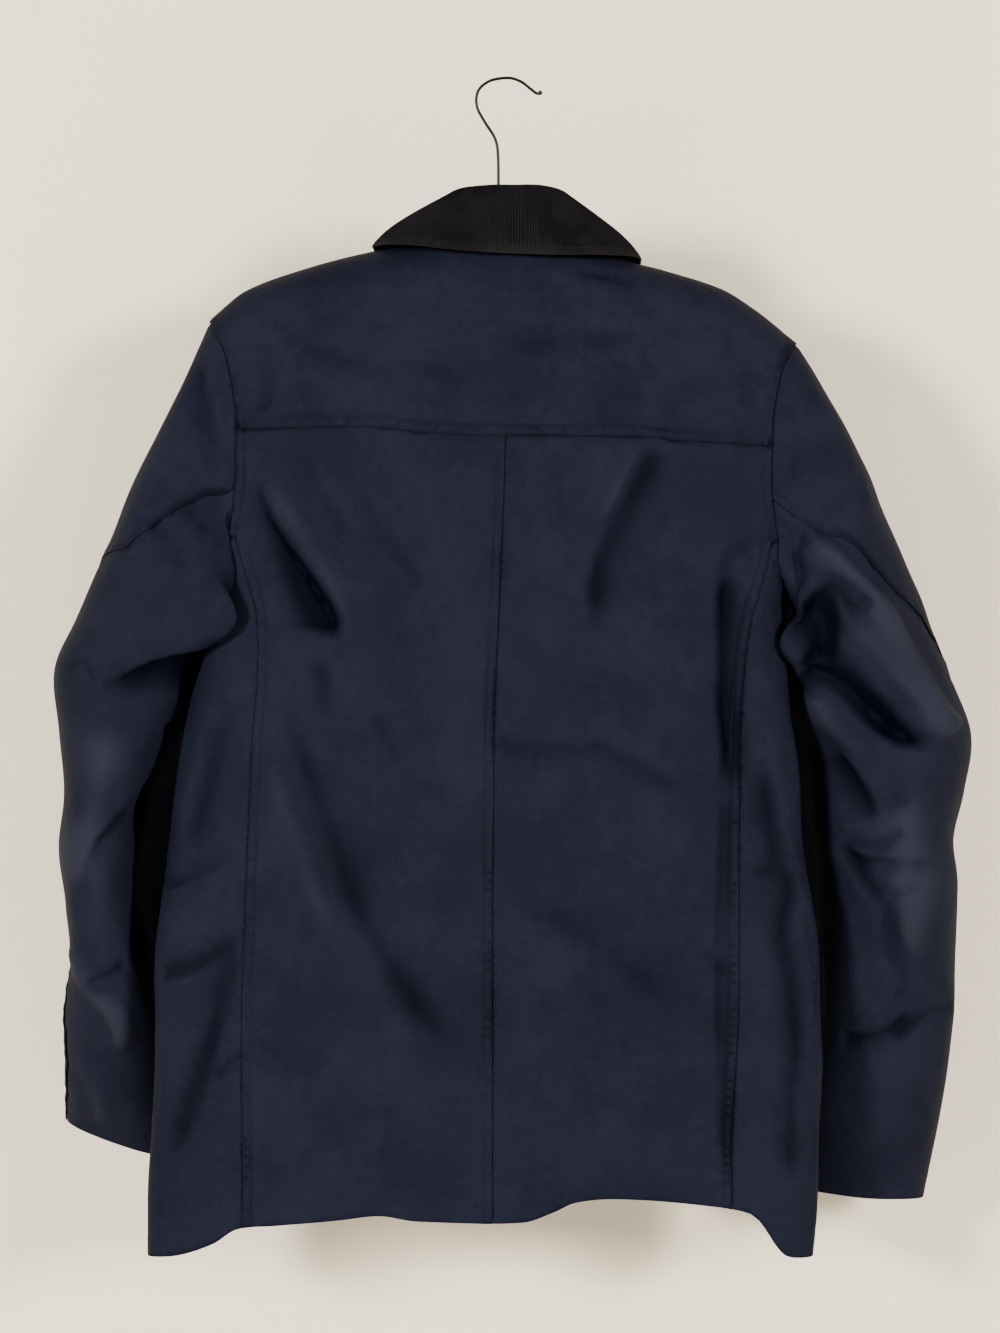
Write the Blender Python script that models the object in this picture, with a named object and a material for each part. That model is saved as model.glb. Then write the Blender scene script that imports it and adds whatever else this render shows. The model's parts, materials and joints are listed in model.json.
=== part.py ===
"""Waxed cotton jacket on a hanger, built from its sewn pieces of cloth.

Metres, +Z up. The origin is the inner top of the hanger's hook, where a rail carries it. The
jacket's back faces -Y and its front +Y, so its right side is at +X. Sizes below are in
millimetres and become metres when a mesh is made.

Each piece of cloth is cut as a flat outline, filled with an even net of points, laid on the
form of the body, a sleeve or the collar, and given its wall.
"""
import math
from collections import namedtuple

import bmesh
import bpy
from mathutils import Vector
from mathutils.geometry import delaunay_2d_cdt

MM = 0.001

# ---------------------------------------------------------------- driving sizes (mm)
WALL = 2.0                 # waxed cotton with its turnings
SEAM_GAP = 0.3             # between two pieces at a seam
LAID_GAP = 0.6             # between a panel and what lies on it
ARMHOLE_GAP = 0.4          # the sleeve stands this much further out all round the armhole
MITRE_LIMIT = 1.7          # an armhole's mitred wall is at most this many walls long
RING_POWER = 4.0           # how square the body's ring is
SLEEVE_POWER = 2.3         # how square a sleeve's ring is
RIDGE_RADIUS = 30.0        # the yoke has rounded over the shoulder this far down
BACK_NET = 20.0            # spacing of the net of points, by piece
YOKE_NET = 19.0
SIDE_NET = 22.0
FRONT_NET = 28.0
SLEEVE_NET = 23.0
FOLD_FADE = 22.0           # folds of the body die out this close to its side edges

LEFT, RIGHT = -1, 1
BACK, FRONT = -1, 1
SIDE_NAMES = {LEFT: "left", RIGHT: "right"}

# Body rings: the edges at left and right, and how far the back and front stand off y = 0.
BodyRing = namedtuple("BodyRing", "z left right back front")
BODY_RINGS = [
    BodyRing(-925, -280, 237, 50, 46),
    BodyRing(-865, -279, 241, 50, 47),
    BodyRing(-819, -276, 242, 51, 48),
    BodyRing(-741, -274, 243, 52, 49),
    BodyRing(-683, -274, 242, 52, 50),
    BodyRing(-640, -269, 236, 52, 50),
    BodyRing(-586, -262, 229, 53, 50),
    BodyRing(-523, -254, 224, 54, 51),
    BodyRing(-484, -246, 219, 54, 52),
    BodyRing(-441, -233, 217, 53, 52),
    BodyRing(-400, -228, 215, 52, 50),
    BodyRing(-380, -227, 216, 51, 48),
    BodyRing(-330, -232, 222, 49, 44),
    BodyRing(-278, -236, 228, 46, 41),
    BodyRing(-230, -239, 232, 40, 36),
    BodyRing(-190, -241, 234, 36, 33),
    BodyRing(-140, -241, 234, 34, 31),
    BodyRing(-100, -241, 234, 33, 30),
]

# The shoulder line seen from behind, from tip to tip; between the necks it is only a guide.
ShoulderPoint = namedtuple("ShoulderPoint", "x z")
SHOULDER_LINE = [
    ShoulderPoint(-232, -190), ShoulderPoint(-223, -180), ShoulderPoint(-204, -165),
    ShoulderPoint(-161, -149), ShoulderPoint(-107, -135), ShoulderPoint(-60, -128),
    ShoulderPoint(0, -124), ShoulderPoint(60, -132), ShoulderPoint(101, -144),
    ShoulderPoint(121, -149), ShoulderPoint(167, -164), ShoulderPoint(193, -180),
    ShoulderPoint(212, -195), ShoulderPoint(225, -207),
]
SHOULDER_TIP_X = {LEFT: -232.0, RIGHT: 225.0}
ARMPIT_Z = {LEFT: -357.0, RIGHT: -362.0}       # where the armhole turns under the arm
UNDERARM_Z = {LEFT: -384.0, RIGHT: -403.0}     # its lowest point
ARC_ANGLES = (22, 45, 67)                      # its points from there up to the armpit

# The armhole's seam lies this far inside the shoulder tip, from the tip (0) down (1).
ArmholeInset = namedtuple("ArmholeInset", "fall inset")
ARMHOLE_INSETS = [
    ArmholeInset(0.0, 0.0), ArmholeInset(0.05, 7.0), ArmholeInset(0.14, 14.0),
    ArmholeInset(0.25, 18.5), ArmholeInset(0.4, 22.5), ArmholeInset(0.6, 23.0),
    ArmholeInset(0.75, 23.0), ArmholeInset(0.9, 20.5), ArmholeInset(1.0, 18.0),
]

# Seams of the back, as height against width.
SeamPoint = namedtuple("SeamPoint", "x z")
YOKE_SEAM = [
    SeamPoint(-210, -276), SeamPoint(-160, -275), SeamPoint(-100, -275), SeamPoint(-67, -279),
    SeamPoint(-24, -281), SeamPoint(97, -282), SeamPoint(127, -285), SeamPoint(206, -289),
]
CENTRE_BACK_SEAM = [
    SeamPoint(-2, -281), SeamPoint(-5, -371), SeamPoint(-10, -478), SeamPoint(-11, -518),
    SeamPoint(-12, -655), SeamPoint(-12, -883),
]
SIDE_BACK_SEAM = {
    LEFT: [SeamPoint(-209, -357), SeamPoint(-199, -392), SeamPoint(-192, -419),
           SeamPoint(-191, -470), SeamPoint(-195, -515), SeamPoint(-201, -656),
           SeamPoint(-203, -755), SeamPoint(-203, -888)],
    RIGHT: [SeamPoint(202, -362), SeamPoint(196, -389), SeamPoint(186, -425),
            SeamPoint(180, -484), SeamPoint(176, -640), SeamPoint(176, -714),
            SeamPoint(172, -813), SeamPoint(171, -872)],
}
SIDE_SEAM_ARC = {LEFT: 0, RIGHT: 2}   # the arc point each side seam starts from (0: the edge)

# The hem hangs lowest at its corners.
HEM_BACK = [
    SeamPoint(-280, -914), SeamPoint(-252, -910), SeamPoint(-225, -900), SeamPoint(-208, -889),
    SeamPoint(-180, -886), SeamPoint(-128, -881), SeamPoint(-98, -878), SeamPoint(-70, -882),
    SeamPoint(11, -883), SeamPoint(35, -875), SeamPoint(50, -868), SeamPoint(81, -865),
    SeamPoint(147, -870), SeamPoint(187, -878), SeamPoint(197, -889), SeamPoint(207, -903),
    SeamPoint(216, -911), SeamPoint(240, -914),
]
HEM_FRONT = [
    SeamPoint(-280, -914), SeamPoint(-250, -909), SeamPoint(-222, -896), SeamPoint(-180, -884),
    SeamPoint(-100, -879), SeamPoint(110, -876), SeamPoint(175, -882), SeamPoint(206, -901),
    SeamPoint(222, -911), SeamPoint(240, -914),
]

# Neckline of the yoke: share of its half width, and the way over the shoulder line (back -).
NECK_MIDDLE = 2.0
NECK_MIDDLE_Y = 8.0
NECK_HALF = 70.0
FRONT_SEAM_OVER = 24.0     # the yoke reaches this far over the shoulder line
NECK_FRONT_Z = -206.0
NeckPoint = namedtuple("NeckPoint", "share over")
NECK_POINTS = [
    NeckPoint(-1.0, 24), NeckPoint(-1.0, 12), NeckPoint(-0.98, 1), NeckPoint(-0.9, -9),
    NeckPoint(-0.66, -16), NeckPoint(-0.25, -20), NeckPoint(0.25, -20), NeckPoint(0.66, -16),
    NeckPoint(0.9, -9), NeckPoint(0.98, 1), NeckPoint(1.0, 12), NeckPoint(1.0, 24),
]
NECK_FRONT_ANGLES = (20, 40, 60, 78)

# Largest folds: a line from (x0, z0) to (x1, z1) bowed to its right hand, reaching so far to
# its left and right hand, and pushed in by `depth` (a negative depth is a ridge).
Fold = namedtuple("Fold", "x0 z0 x1 z1 bow left right depth")
BACK_FOLDS = [
    Fold(-190, -318, -130, -436, 3, 16, 24, 15),     # drag from the left armhole
    Fold(-172, -280, -108, -420, 0, 20, 16, -5),     # the ridge that runs beside it
    Fold(-163, -503, -84, -680, 8, 20, 26, 12),      # long trough of the left back
    Fold(-88, -660, -30, -762, -8, 20, 18, 10),      # and its lower end, to the centre seam
    Fold(143, -285, 62, -480, -14, 28, 24, 8),       # broad trough of the right back
    Fold(166, -395, 157, -560, 2, 14, 18, 13),       # dark trough beside the right side seam
    Fold(158, -555, 166, -700, 0, 15, 18, 8),
    Fold(-10, -512, 162, -556, 9, 14, 20, 7),        # cross fold of the right back
    Fold(-8, -628, 150, -702, 6, 22, 22, 5),
    Fold(-103, -340, -80, -412, 0, 22, 22, 4),
    Fold(-207, -195, -188, -268, -4, 15, 15, 6),     # yoke, beside the left armhole
    Fold(-170, -190, -120, -270, 5, 22, 22, 5),
    Fold(-86, -213, 100, -226, 5, 20, 20, 4),        # yoke, across
    Fold(172, -205, 132, -282, 3, 18, 18, 6),
    Fold(-264, -688, -215, -664, 2, 18, 18, 6),      # left side panel
    Fold(-212, -700, -262, -860, 10, 18, 22, 9),
    Fold(-204, -470, -222, -620, -4, 16, 18, 6),
    Fold(196, -560, 205, -870, -6, 20, 20, 6),       # right side panel
]
FRONT_FOLDS = [
    Fold(-150, -330, -120, -470, 6, 34, 34, 9),
    Fold(148, -340, 116, -490, -6, 34, 34, 9),
    Fold(-190, -470, -100, -620, 6, 34, 34, 7),
    Fold(180, -480, 96, -640, -6, 34, 34, 7),
]

# Sleeve rings: the outer and the inner point of each, its middle and half depth in y, and how
# far its front leans in over the body.
SleeveRing = namedtuple("SleeveRing", "out_x out_z in_x in_z mid_y depth lean")
SLEEVE_RINGS = {
    LEFT: [
        SleeveRing(-232, -190, -228, -384, 0, 40, 0),
        SleeveRing(-259, -250, -236, -404, 0, 50, 0),
        SleeveRing(-286, -305, -238, -422, 2, 57, 8),
        SleeveRing(-312, -368, -239, -440, 6, 60, 24),
        SleeveRing(-337, -419, -241, -456, 12, 60, 36),
        SleeveRing(-355, -459, -245, -474, 20, 58, 40),
        SleeveRing(-352, -508, -254, -502, 28, 60, 42),
        SleeveRing(-350, -556, -274, -546, 36, 62, 46),
        SleeveRing(-351, -604, -287, -600, 42, 62, 52),
        SleeveRing(-351, -648, -290, -648, 48, 60, 52),
        SleeveRing(-347, -690, -278, -692, 54, 57, 38),
        SleeveRing(-354, -735, -275, -741, 62, 52, 28),
        SleeveRing(-355, -779, -270, -790, 72, 46, 18),
        SleeveRing(-356, -822, -264, -853, 86, 40, 8),
    ],
    RIGHT: [
        SleeveRing(225, -207, 218, -403, 0, 40, 0),
        SleeveRing(248, -243, 227, -420, 0, 50, 4),
        SleeveRing(269, -281, 229, -436, 2, 57, 16),
        SleeveRing(290, -330, 228, -450, 6, 60, 32),
        SleeveRing(316, -388, 227, -463, 12, 60, 40),
        SleeveRing(342, -453, 228, -478, 20, 57, 40),
        SleeveRing(365, -510, 232, -500, 28, 54, 38),
        SleeveRing(361, -556, 238, -533, 34, 54, 36),
        SleeveRing(353, -596, 242, -580, 40, 55, 34),
        SleeveRing(357, -636, 246, -628, 46, 55, 32),
        SleeveRing(357, -684, 247, -676, 54, 52, 26),
        SleeveRing(355, -749, 247, -745, 64, 48, 18),
        SleeveRing(349, -810, 240, -810, 76, 44, 8),
        SleeveRing(336, -885, 231, -876, 88, 40, 4),
    ],
}
SLEEVE_BLEND_RINGS = 2.6   # over so many rings the armhole's loop becomes the sleeve's ring
SLEEVE_GIRTH = 380.0       # mean, for the flat cut

# Where the two sleeve seams run, as ring angles: 0 is the outer side, 90 the back.
SeamTurn = namedtuple("SeamTurn", "ring turn")
BACK_SEAM_TURNS = {
    LEFT: [SeamTurn(0, 111), SeamTurn(1, 95), SeamTurn(2, 76), SeamTurn(2.5, 50),
           SeamTurn(3, 10), SeamTurn(4, -10), SeamTurn(6, -18), SeamTurn(9, -6),
           SeamTurn(11, 24), SeamTurn(13, 16)],
    RIGHT: [SeamTurn(0, 108), SeamTurn(1, 99), SeamTurn(2, 90), SeamTurn(3, 73),
            SeamTurn(4, 54), SeamTurn(5, 8), SeamTurn(6, -14), SeamTurn(13, -14)],
}
FRONT_SEAM_TURNS = [SeamTurn(0, -112), SeamTurn(2, -125), SeamTurn(4, -138), SeamTurn(9, -140),
                    SeamTurn(13, -132)]

SLEEVE_FOLDS = {
    LEFT: [
        Fold(-322, -474, -256, -500, 0, 44, 11, 20),     # the elbow folds in on itself
        Fold(-322, -468, -232, -432, 3, 12, 12, -7),     # and its lip above
        Fold(-335, -640, -292, -560, 0, 18, 20, 7),
        Fold(-345, -700, -300, -640, 0, 16, 16, 5),
        Fold(-240, -230, -222, -330, 6, 14, 14, 5),
    ],
    RIGHT: [
        Fold(250, -458, 346, -512, -8, 16, 24, 18),      # the elbow folds in below its ridge
        Fold(240, -366, 350, -500, -12, 12, 12, -7),
        Fold(250, -570, 288, -574, 0, 16, 16, 10),
        Fold(256, -606, 342, -612, 2, 12, 14, 6),
        Fold(262, -742, 352, -722, 6, 13, 15, 6),
    ],
}
SLEEVE_FOLD_FADE = 26.0    # sleeve folds die out this close to its inner and outer side

# The left sleeve's upper part sags over the body beside the armpit.
Bulge = namedtuple("Bulge", "turn ring turn_reach ring_reach x y z")
SLEEVE_BULGES = {LEFT: [Bulge(120, 2.6, 46, 2.0, 50, -9, -8)], RIGHT: []}
ELBOW_FRONT_TURN = -95.0   # the hidden side has its own soft folds at the elbow
ELBOW_FRONT_RINGS = (4.6, 6.2, 7.6)
ELBOW_FRONT_DEPTH = 7.0

# Collar: its fold line and the fall's edge, by the angle round the neck from the centre back.
CollarRib = namedtuple("CollarRib", "turn fold_x fold_y fold_z edge_x edge_y edge_z")
COLLAR_RIBS = [
    CollarRib(-160, -24, 50, -156, -66, 61, -206),
    CollarRib(-140, -38, 41, -138, -88, 52, -181),
    CollarRib(-120, -50, 30, -121, -101, 42, -155),
    CollarRib(-105, -56, 19, -109, -104, 19, -133),
    CollarRib(-90, -57, 8, -100, -104, -4, -130),
    CollarRib(-60, -40, -16, -89, -80, -34, -133),
    CollarRib(-30, -18, -28, -87, -40, -39, -138),
    CollarRib(0, 4, -31, -87, 0, -40, -141),
    CollarRib(30, 26, -28, -87, 42, -39, -142),
    CollarRib(60, 44, -16, -91, 80, -34, -141),
    CollarRib(90, 57, 8, -104, 103, -4, -139),
    CollarRib(105, 56, 19, -113, 104, 19, -143),
    CollarRib(120, 50, 30, -125, 101, 42, -161),
    CollarRib(140, 38, 41, -142, 88, 52, -185),
    CollarRib(160, 24, 50, -158, 66, 61, -208),
]
COLLAR_WALL = 1.6
ROLL_RADIUS = 4.4          # outside of the roll at the collar's fold line
ROLL_DEPTH = 7.0           # the fall starts this far down inside
ROLL_ANGLES = (180, 135, 90, 45)
FALL_SWELL = 5.0
FALL_ROWS = 5
STAND_ROWS = 3
STAND_GAP = 0.7            # between the stand's top and the fall's inner edge
NECK_CLEAR = 0.5           # the stand stands this far inside the neckline

# Lower patch pockets on the fronts, by ring angle and height.
POCKET_TOP, POCKET_BOTTOM = -684.0, -856.0
FLAP_BOTTOM = -736.0
POCKET_FROM_EDGE = {LEFT: 34.0, RIGHT: 6.0}
POCKET_WIDTH = 168.0

PLACKET_HALF = 24.0
PLACKET_TOP, PLACKET_BOTTOM = -222.0, -870.0
PLACKET_ROWS = 22
PLACKET_GAP = 0.8
STUD_RADIUS, STUD_DEPTH = 7.5, 3.0
STUD_HEIGHTS = [-250.0, -390.0, -530.0, -670.0, -810.0]
STUD_GAP = 0.5

# Hanger: a round bar under the shoulders and a wire hook.
BAR_RADIUS = 8.0
BAR_GAP = 0.8
BAR_ENDS = (-190.0, 182.0)
BAR_STEP = 20.0
WIRE_RADIUS = 1.2
BALL_RADIUS = 1.9          # the wire's end is dipped
HookPoint = namedtuple("HookPoint", "x z")
HOOK_ROUTE = [
    HookPoint(-7, -119), HookPoint(-7.2, -95), HookPoint(-7.5, -60), HookPoint(-10, -46),
    HookPoint(-18, -33), HookPoint(-24, -21), HookPoint(-23, -9), HookPoint(-14, -1.2),
    HookPoint(0, 1.2), HookPoint(10, -1.5), HookPoint(18, -7.5), HookPoint(23, -11),
    HookPoint(27, -9.5),
]
HOOK_STEP = 4.0


# ---------------------------------------------------------------- small helpers
def smooth_curve(knots):
    """A smooth function through (place, value) knots, level beyond its ends."""
    knots = sorted(knots)
    places = [float(place) for place, _ in knots]
    values = [float(value) for _, value in knots]
    last = len(knots) - 1
    slopes = []
    for index in range(len(knots)):
        before, after = max(index - 1, 0), min(index + 1, last)
        slopes.append((values[after] - values[before]) / (places[after] - places[before]))

    def value_at(place):
        if place <= places[0]:
            return values[0]
        if place >= places[last]:
            return values[last]
        index = next(i for i in range(last) if place <= places[i + 1])
        span = places[index + 1] - places[index]
        part = (place - places[index]) / span
        rise = part * part * (3 - 2 * part)
        return (values[index] * (1 - rise) + values[index + 1] * rise
                + slopes[index] * span * part * (1 - part) ** 2
                - slopes[index + 1] * span * part * part * (1 - part))

    return value_at


def column(rows, key, name):
    """The smooth function of one named column of a table over another."""
    return smooth_curve([(getattr(row, key), getattr(row, name)) for row in rows])


def ease(part):
    """Smooth step from 0 to 1."""
    part = min(max(part, 0.0), 1.0)
    return part * part * (3 - 2 * part)


def signed_power(value, power):
    return math.copysign(abs(value) ** power, value)


def steps(start, end, size):
    """Evenly spaced values from start to end, no further apart than about `size`."""
    count = max(1, round(abs(end - start) / size))
    return [start + (end - start) * i / count for i in range(count + 1)]


# ---------------------------------------------------------------- the body's form
ring_left = column(BODY_RINGS, "z", "left")
ring_right = column(BODY_RINGS, "z", "right")
ring_back = column(BODY_RINGS, "z", "back")
ring_front = column(BODY_RINGS, "z", "front")
shoulder_z = column(SHOULDER_LINE, "x", "z")
yoke_seam_z = column(YOKE_SEAM, "x", "z")
centre_back_x = column(CENTRE_BACK_SEAM, "z", "x")
side_back_x = {side: column(rows, "z", "x") for side, rows in SIDE_BACK_SEAM.items()}
hem_back_z = column(HEM_BACK, "x", "z")
hem_front_z = column(HEM_FRONT, "x", "z")
armhole_inset = column(ARMHOLE_INSETS, "fall", "inset")


def ring_middle(z):
    return (ring_left(z) + ring_right(z)) / 2


def ring_half(z):
    return (ring_right(z) - ring_left(z)) / 2


def ring_table():
    """A typical ring's way round from the centre back, with shares of its width and depth."""
    half, depth = 250.0, 50.0
    table = [(0.0, 0.0, 1.0)]
    for count in range(1, 801):
        part = count / 400
        angle = math.pi / 4 * (part * part if part < 1 else 2 - (2 - part) ** 2)
        across = signed_power(math.sin(angle), 2 / RING_POWER)
        deep = signed_power(math.cos(angle), 2 / RING_POWER)
        way, last_across, last_deep = table[-1]
        run = math.hypot((across - last_across) * half, (deep - last_deep) * depth)
        table.append((way + run, across, deep))
    return table


RING_TABLE = ring_table()
SIDE_GIRTH = RING_TABLE[-1][0]
HALF_GIRTH = 2 * SIDE_GIRTH


def look_up(table, column_number, value):
    """A row of a rising table, blended for a value of one column."""
    low, high = 0, len(table) - 1
    while high - low > 1:
        middle = (low + high) // 2
        if table[middle][column_number] <= value:
            low = middle
        else:
            high = middle
    span = table[high][column_number] - table[low][column_number]
    part = min(max((value - table[low][column_number]) / span, 0.0), 1.0) if span else 0.0
    return [a + (b - a) * part for a, b in zip(table[low], table[high])]


def ring_shares(girth):
    """Shares of a ring's half width (right +) and depth (front +) at a way round it."""
    size = min(abs(girth), HALF_GIRTH)
    face = BACK if size < SIDE_GIRTH else FRONT
    _, across, deep = look_up(RING_TABLE, 0, size if face == BACK else HALF_GIRTH - size)
    return math.copysign(across, girth), face * deep


def girth_at(x, z, face):
    """Way round the body of the place at x on its back or front."""
    across = min(max((x - ring_middle(z)) / ring_half(z), -1.0), 1.0)
    way = look_up(RING_TABLE, 1, abs(across))[0]
    return math.copysign(way if face == BACK else HALF_GIRTH - way, across)


def shoulder_cover(drop):
    """How far the cloth stands off at a drop below the shoulder line, as a share."""
    if drop >= RIDGE_RADIUS:
        return 1.0
    return math.sqrt(max(0.0, 1 - (1 - max(drop, 0.0) / RIDGE_RADIUS) ** 2))


def body_base(girth, z):
    """The body's smooth form at a way round it and a height."""
    across, out = ring_shares(girth)
    x = ring_middle(z) + ring_half(z) * across
    depth = ring_back(z) if out < 0 else ring_front(z)
    return Vector((x, out * depth * shoulder_cover(shoulder_z(x) - z), z))


def yoke_base(x, over):
    """The yoke's smooth form, `over` being the way over the shoulder line (back negative)."""
    quarter = RIDGE_RADIUS * math.pi / 2
    angle = min(abs(over), quarter) / RIDGE_RADIUS
    drop = RIDGE_RADIUS * (1 - math.cos(angle)) + max(0.0, abs(over) - quarter)
    z = shoulder_z(x) - drop
    across = min(abs(x - ring_middle(z)) / ring_half(z), 1.0)
    out = (1 - across ** RING_POWER) ** (1 / RING_POWER) * math.sin(angle)
    return Vector((x, out * (ring_front(z) if over > 0 else -ring_back(z)), z))


def over_of(x, z, face):
    """Way over the shoulder line of the place at x and z on the back or front."""
    drop = max(shoulder_z(x) - z, 0.0)
    if drop < RIDGE_RADIUS:
        return face * RIDGE_RADIUS * math.acos(1 - drop / RIDGE_RADIUS)
    return face * (RIDGE_RADIUS * math.pi / 2 + drop - RIDGE_RADIUS)


def form_normal(form, first, second, nudge=0.8):
    """Outward direction of a form that runs right-handed over its two places."""
    along = form(first + nudge, second) - form(first - nudge, second)
    up = form(first, second + nudge) - form(first, second - nudge)
    return along.cross(up).normalized()


def fold_depth(folds, x, z):
    """How far the folds push in at a place."""
    total = 0.0
    for fold in folds:
        run_x, run_z = fold.x1 - fold.x0, fold.z1 - fold.z0
        length = math.hypot(run_x, run_z)
        along = ((x - fold.x0) * run_x + (z - fold.z0) * run_z) / length ** 2
        if not -0.1 < along < 1.1:
            continue
        aside = ((x - fold.x0) * run_z - (z - fold.z0) * run_x) / length
        aside -= fold.bow * math.sin(math.pi * min(max(along, 0.0), 1.0))
        across = 1 - ease(abs(aside) / (fold.right if aside > 0 else fold.left))
        ends = ease((along + 0.1) / 0.3) * ease((1.1 - along) / 0.3)
        total += fold.depth * across * ends
    return total


def folded(base, normal):
    """A place of the body's form with the body's folds in it."""
    folds = BACK_FOLDS if base.y < 0 else FRONT_FOLDS
    fade = ease(abs(base.y) / FOLD_FADE)
    return base - normal * fold_depth(folds, base.x, base.z) * fade


def body_place(girth, z):
    """Outer place of the body's cloth, and the direction its wall faces."""
    normal = form_normal(body_base, girth, z)
    return folded(body_base(girth, z), normal), normal


def yoke_place(x, over):
    """Outer place of the yoke's cloth, and the direction its wall faces."""
    normal = form_normal(yoke_base, x, over)
    return folded(yoke_base(x, over), normal), normal


# ---------------------------------------------------------------- seams that pieces share
Spot = namedtuple("Spot", "girth z x over point facing turn")


def body_spot(x, z, face):
    """A place on the body, with what each piece that meets there needs."""
    girth, over = girth_at(x, z, face), over_of(x, z, face)
    near_top = shoulder_z(x) - z < RIDGE_RADIUS
    point, facing = yoke_place(x, over) if near_top else body_place(girth, z)
    return Spot(girth, z, x, over, point, facing, 0.0)


def ring_spot(girth, z):
    """A place on the body by the way round it."""
    point, facing = body_place(girth, z)
    return Spot(girth, z, body_base(girth, z).x, 0.0, point, facing, 0.0)


def armhole_branch_spot(side, fall, face):
    """A place on the back or front run of an armhole, from the shoulder tip (0) down (1)."""
    top = shoulder_z(SHOULDER_TIP_X[side])
    z = top + fall * (ARMPIT_Z[side] - top)
    return body_spot(SHOULDER_TIP_X[side] - side * armhole_inset(fall), z, face)


def armhole_arc_spot(side, angle):
    """A place on the armhole's rounding under the arm, 0 at its lowest and 90 at its armpit."""
    armpit = armhole_branch_spot(side, 1.0, BACK)
    edge = side * SIDE_GIRTH
    swing = math.radians(angle)
    girth = edge + (armpit.girth - edge) * math.sin(swing)
    return ring_spot(girth, ARMPIT_Z[side] + (UNDERARM_Z[side] - ARMPIT_Z[side]) * math.cos(swing))


YOKE_STEPS, BACK_STEPS, FRONT_STEPS = 7, 4, 9
FRONT_FALL = 0.035         # the yoke's front seam meets the armhole this far down


def armhole_loop(side):
    """The armhole from the shoulder tip down the back, under the arm and up the front.

    Returns the spots and the indices where the yoke seam, the side-back seam, the side seam,
    the lowest point and the yoke's front seam are.
    """
    top = shoulder_z(SHOULDER_TIP_X[side])
    yoke_z = yoke_seam_z(SHOULDER_TIP_X[side] - side * 22)
    yoke_fall = (yoke_z - top) / (ARMPIT_Z[side] - top)
    falls = [yoke_fall * (i / YOKE_STEPS) ** 2 for i in range(YOKE_STEPS)]
    falls += [yoke_fall + (1 - yoke_fall) * i / BACK_STEPS for i in range(BACK_STEPS + 1)]
    spots = [armhole_branch_spot(side, fall, BACK) for fall in falls]
    marks = {"yoke": YOKE_STEPS, "side_back": len(spots) - 1}
    arc = ARC_ANGLES[::-1] + (0,) + tuple(-angle for angle in ARC_ANGLES)
    marks["underarm"] = len(spots) + len(ARC_ANGLES)
    marks["side"] = marks["underarm"] - SIDE_SEAM_ARC[side]
    spots += [armhole_arc_spot(side, angle) for angle in arc]
    rise = [1 - (1 - FRONT_FALL) * i / FRONT_STEPS for i in range(FRONT_STEPS + 1)]
    spots += [armhole_branch_spot(side, fall, FRONT) for fall in rise]
    marks["front"] = len(spots) - 1
    spots.append(armhole_branch_spot(side, FRONT_FALL / 4, FRONT))
    return spots, marks


def with_turns(side, spots, marks):
    """Give each armhole spot its angle round the sleeve and a wall mitred with the sleeve's."""
    ways = [0.0]
    for before, here in zip(spots, spots[1:] + spots[:1]):
        ways.append(ways[-1] + (here.point - before.point).length)
    under = ways[marks["underarm"]]
    turned = []
    for way, spot in zip(ways, spots):
        if way <= under:
            turn = 180 * way / under
        else:
            turn = 180 + 180 * (way - under) / (ways[-1] - under)
        angle = math.radians(turn)
        outward = Vector((side * 0.91 * math.cos(angle), -math.sin(angle), 0.41 * math.cos(angle)))
        both = spot.facing + outward.normalized()
        size = min(2 / both.length, MITRE_LIMIT)
        turned.append(spot._replace(turn=turn, facing=both.normalized() * size))
    return turned


ARMHOLES = {}
MARKS = {}
for armhole_side in (LEFT, RIGHT):
    loop_spots, MARKS[armhole_side] = armhole_loop(armhole_side)
    ARMHOLES[armhole_side] = with_turns(armhole_side, loop_spots, MARKS[armhole_side])


def yoke_seam_spots(side):
    """The yoke's back seam from the centre back to an armhole."""
    end = ARMHOLES[side][MARKS[side]["yoke"]]
    start = centre_back_x(-281.0)
    spots = [body_spot(x, yoke_seam_z(x), BACK) for x in steps(start, end.x, BACK_NET)]
    return spots[:-1] + [end]


def centre_back_spots():
    """The centre-back seam from the yoke to the hem."""
    top = yoke_seam_z(centre_back_x(-281.0))
    bottom = hem_back_z(centre_back_x(-883.0))
    return [body_spot(centre_back_x(z), z, BACK) for z in steps(top, bottom, BACK_NET)]


def side_back_spots(side):
    """The side-back seam from the armhole to the hem."""
    top = ARMHOLES[side][MARKS[side]["side_back"]]
    bottom = hem_back_z(side_back_x[side](-886.0))
    heights = steps(top.z, bottom, BACK_NET)[1:]
    return [top] + [body_spot(side_back_x[side](z), z, BACK) for z in heights]


def side_spots(side):
    """The side seam from the armhole to the hem."""
    top = ARMHOLES[side][MARKS[side]["side"]]
    bottom = hem_back_z(body_base(top.girth, -900.0).x)
    return [top] + [ring_spot(top.girth, z) for z in steps(top.z, bottom, SIDE_NET)[1:]]


def centre_front_spots(side):
    """The centre front from the neck to the hem."""
    bottom = hem_front_z(ring_middle(-880.0))
    return [ring_spot(side * HALF_GIRTH, z) for z in steps(NECK_FRONT_Z, bottom, FRONT_NET)]


def hem_spots(start, end, size):
    """The hem between two spots of one panel, without its ends."""
    spots = []
    for girth in steps(start.girth, end.girth, size)[1:-1]:
        x = body_base(girth, -890.0).x
        z = hem_back_z(x) if abs(girth) < SIDE_GIRTH else hem_front_z(x)
        spots.append(ring_spot(girth, z))
    return spots


def neck_spots():
    """The yoke's neckline, from its left front corner round the back to the right one."""
    spots = []
    for row in NECK_POINTS:
        x = NECK_MIDDLE + NECK_HALF * row.share
        point, facing = yoke_place(x, row.over)
        spots.append(Spot(0.0, point.z, x, row.over, point, facing, 0.0))
    return spots


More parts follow.
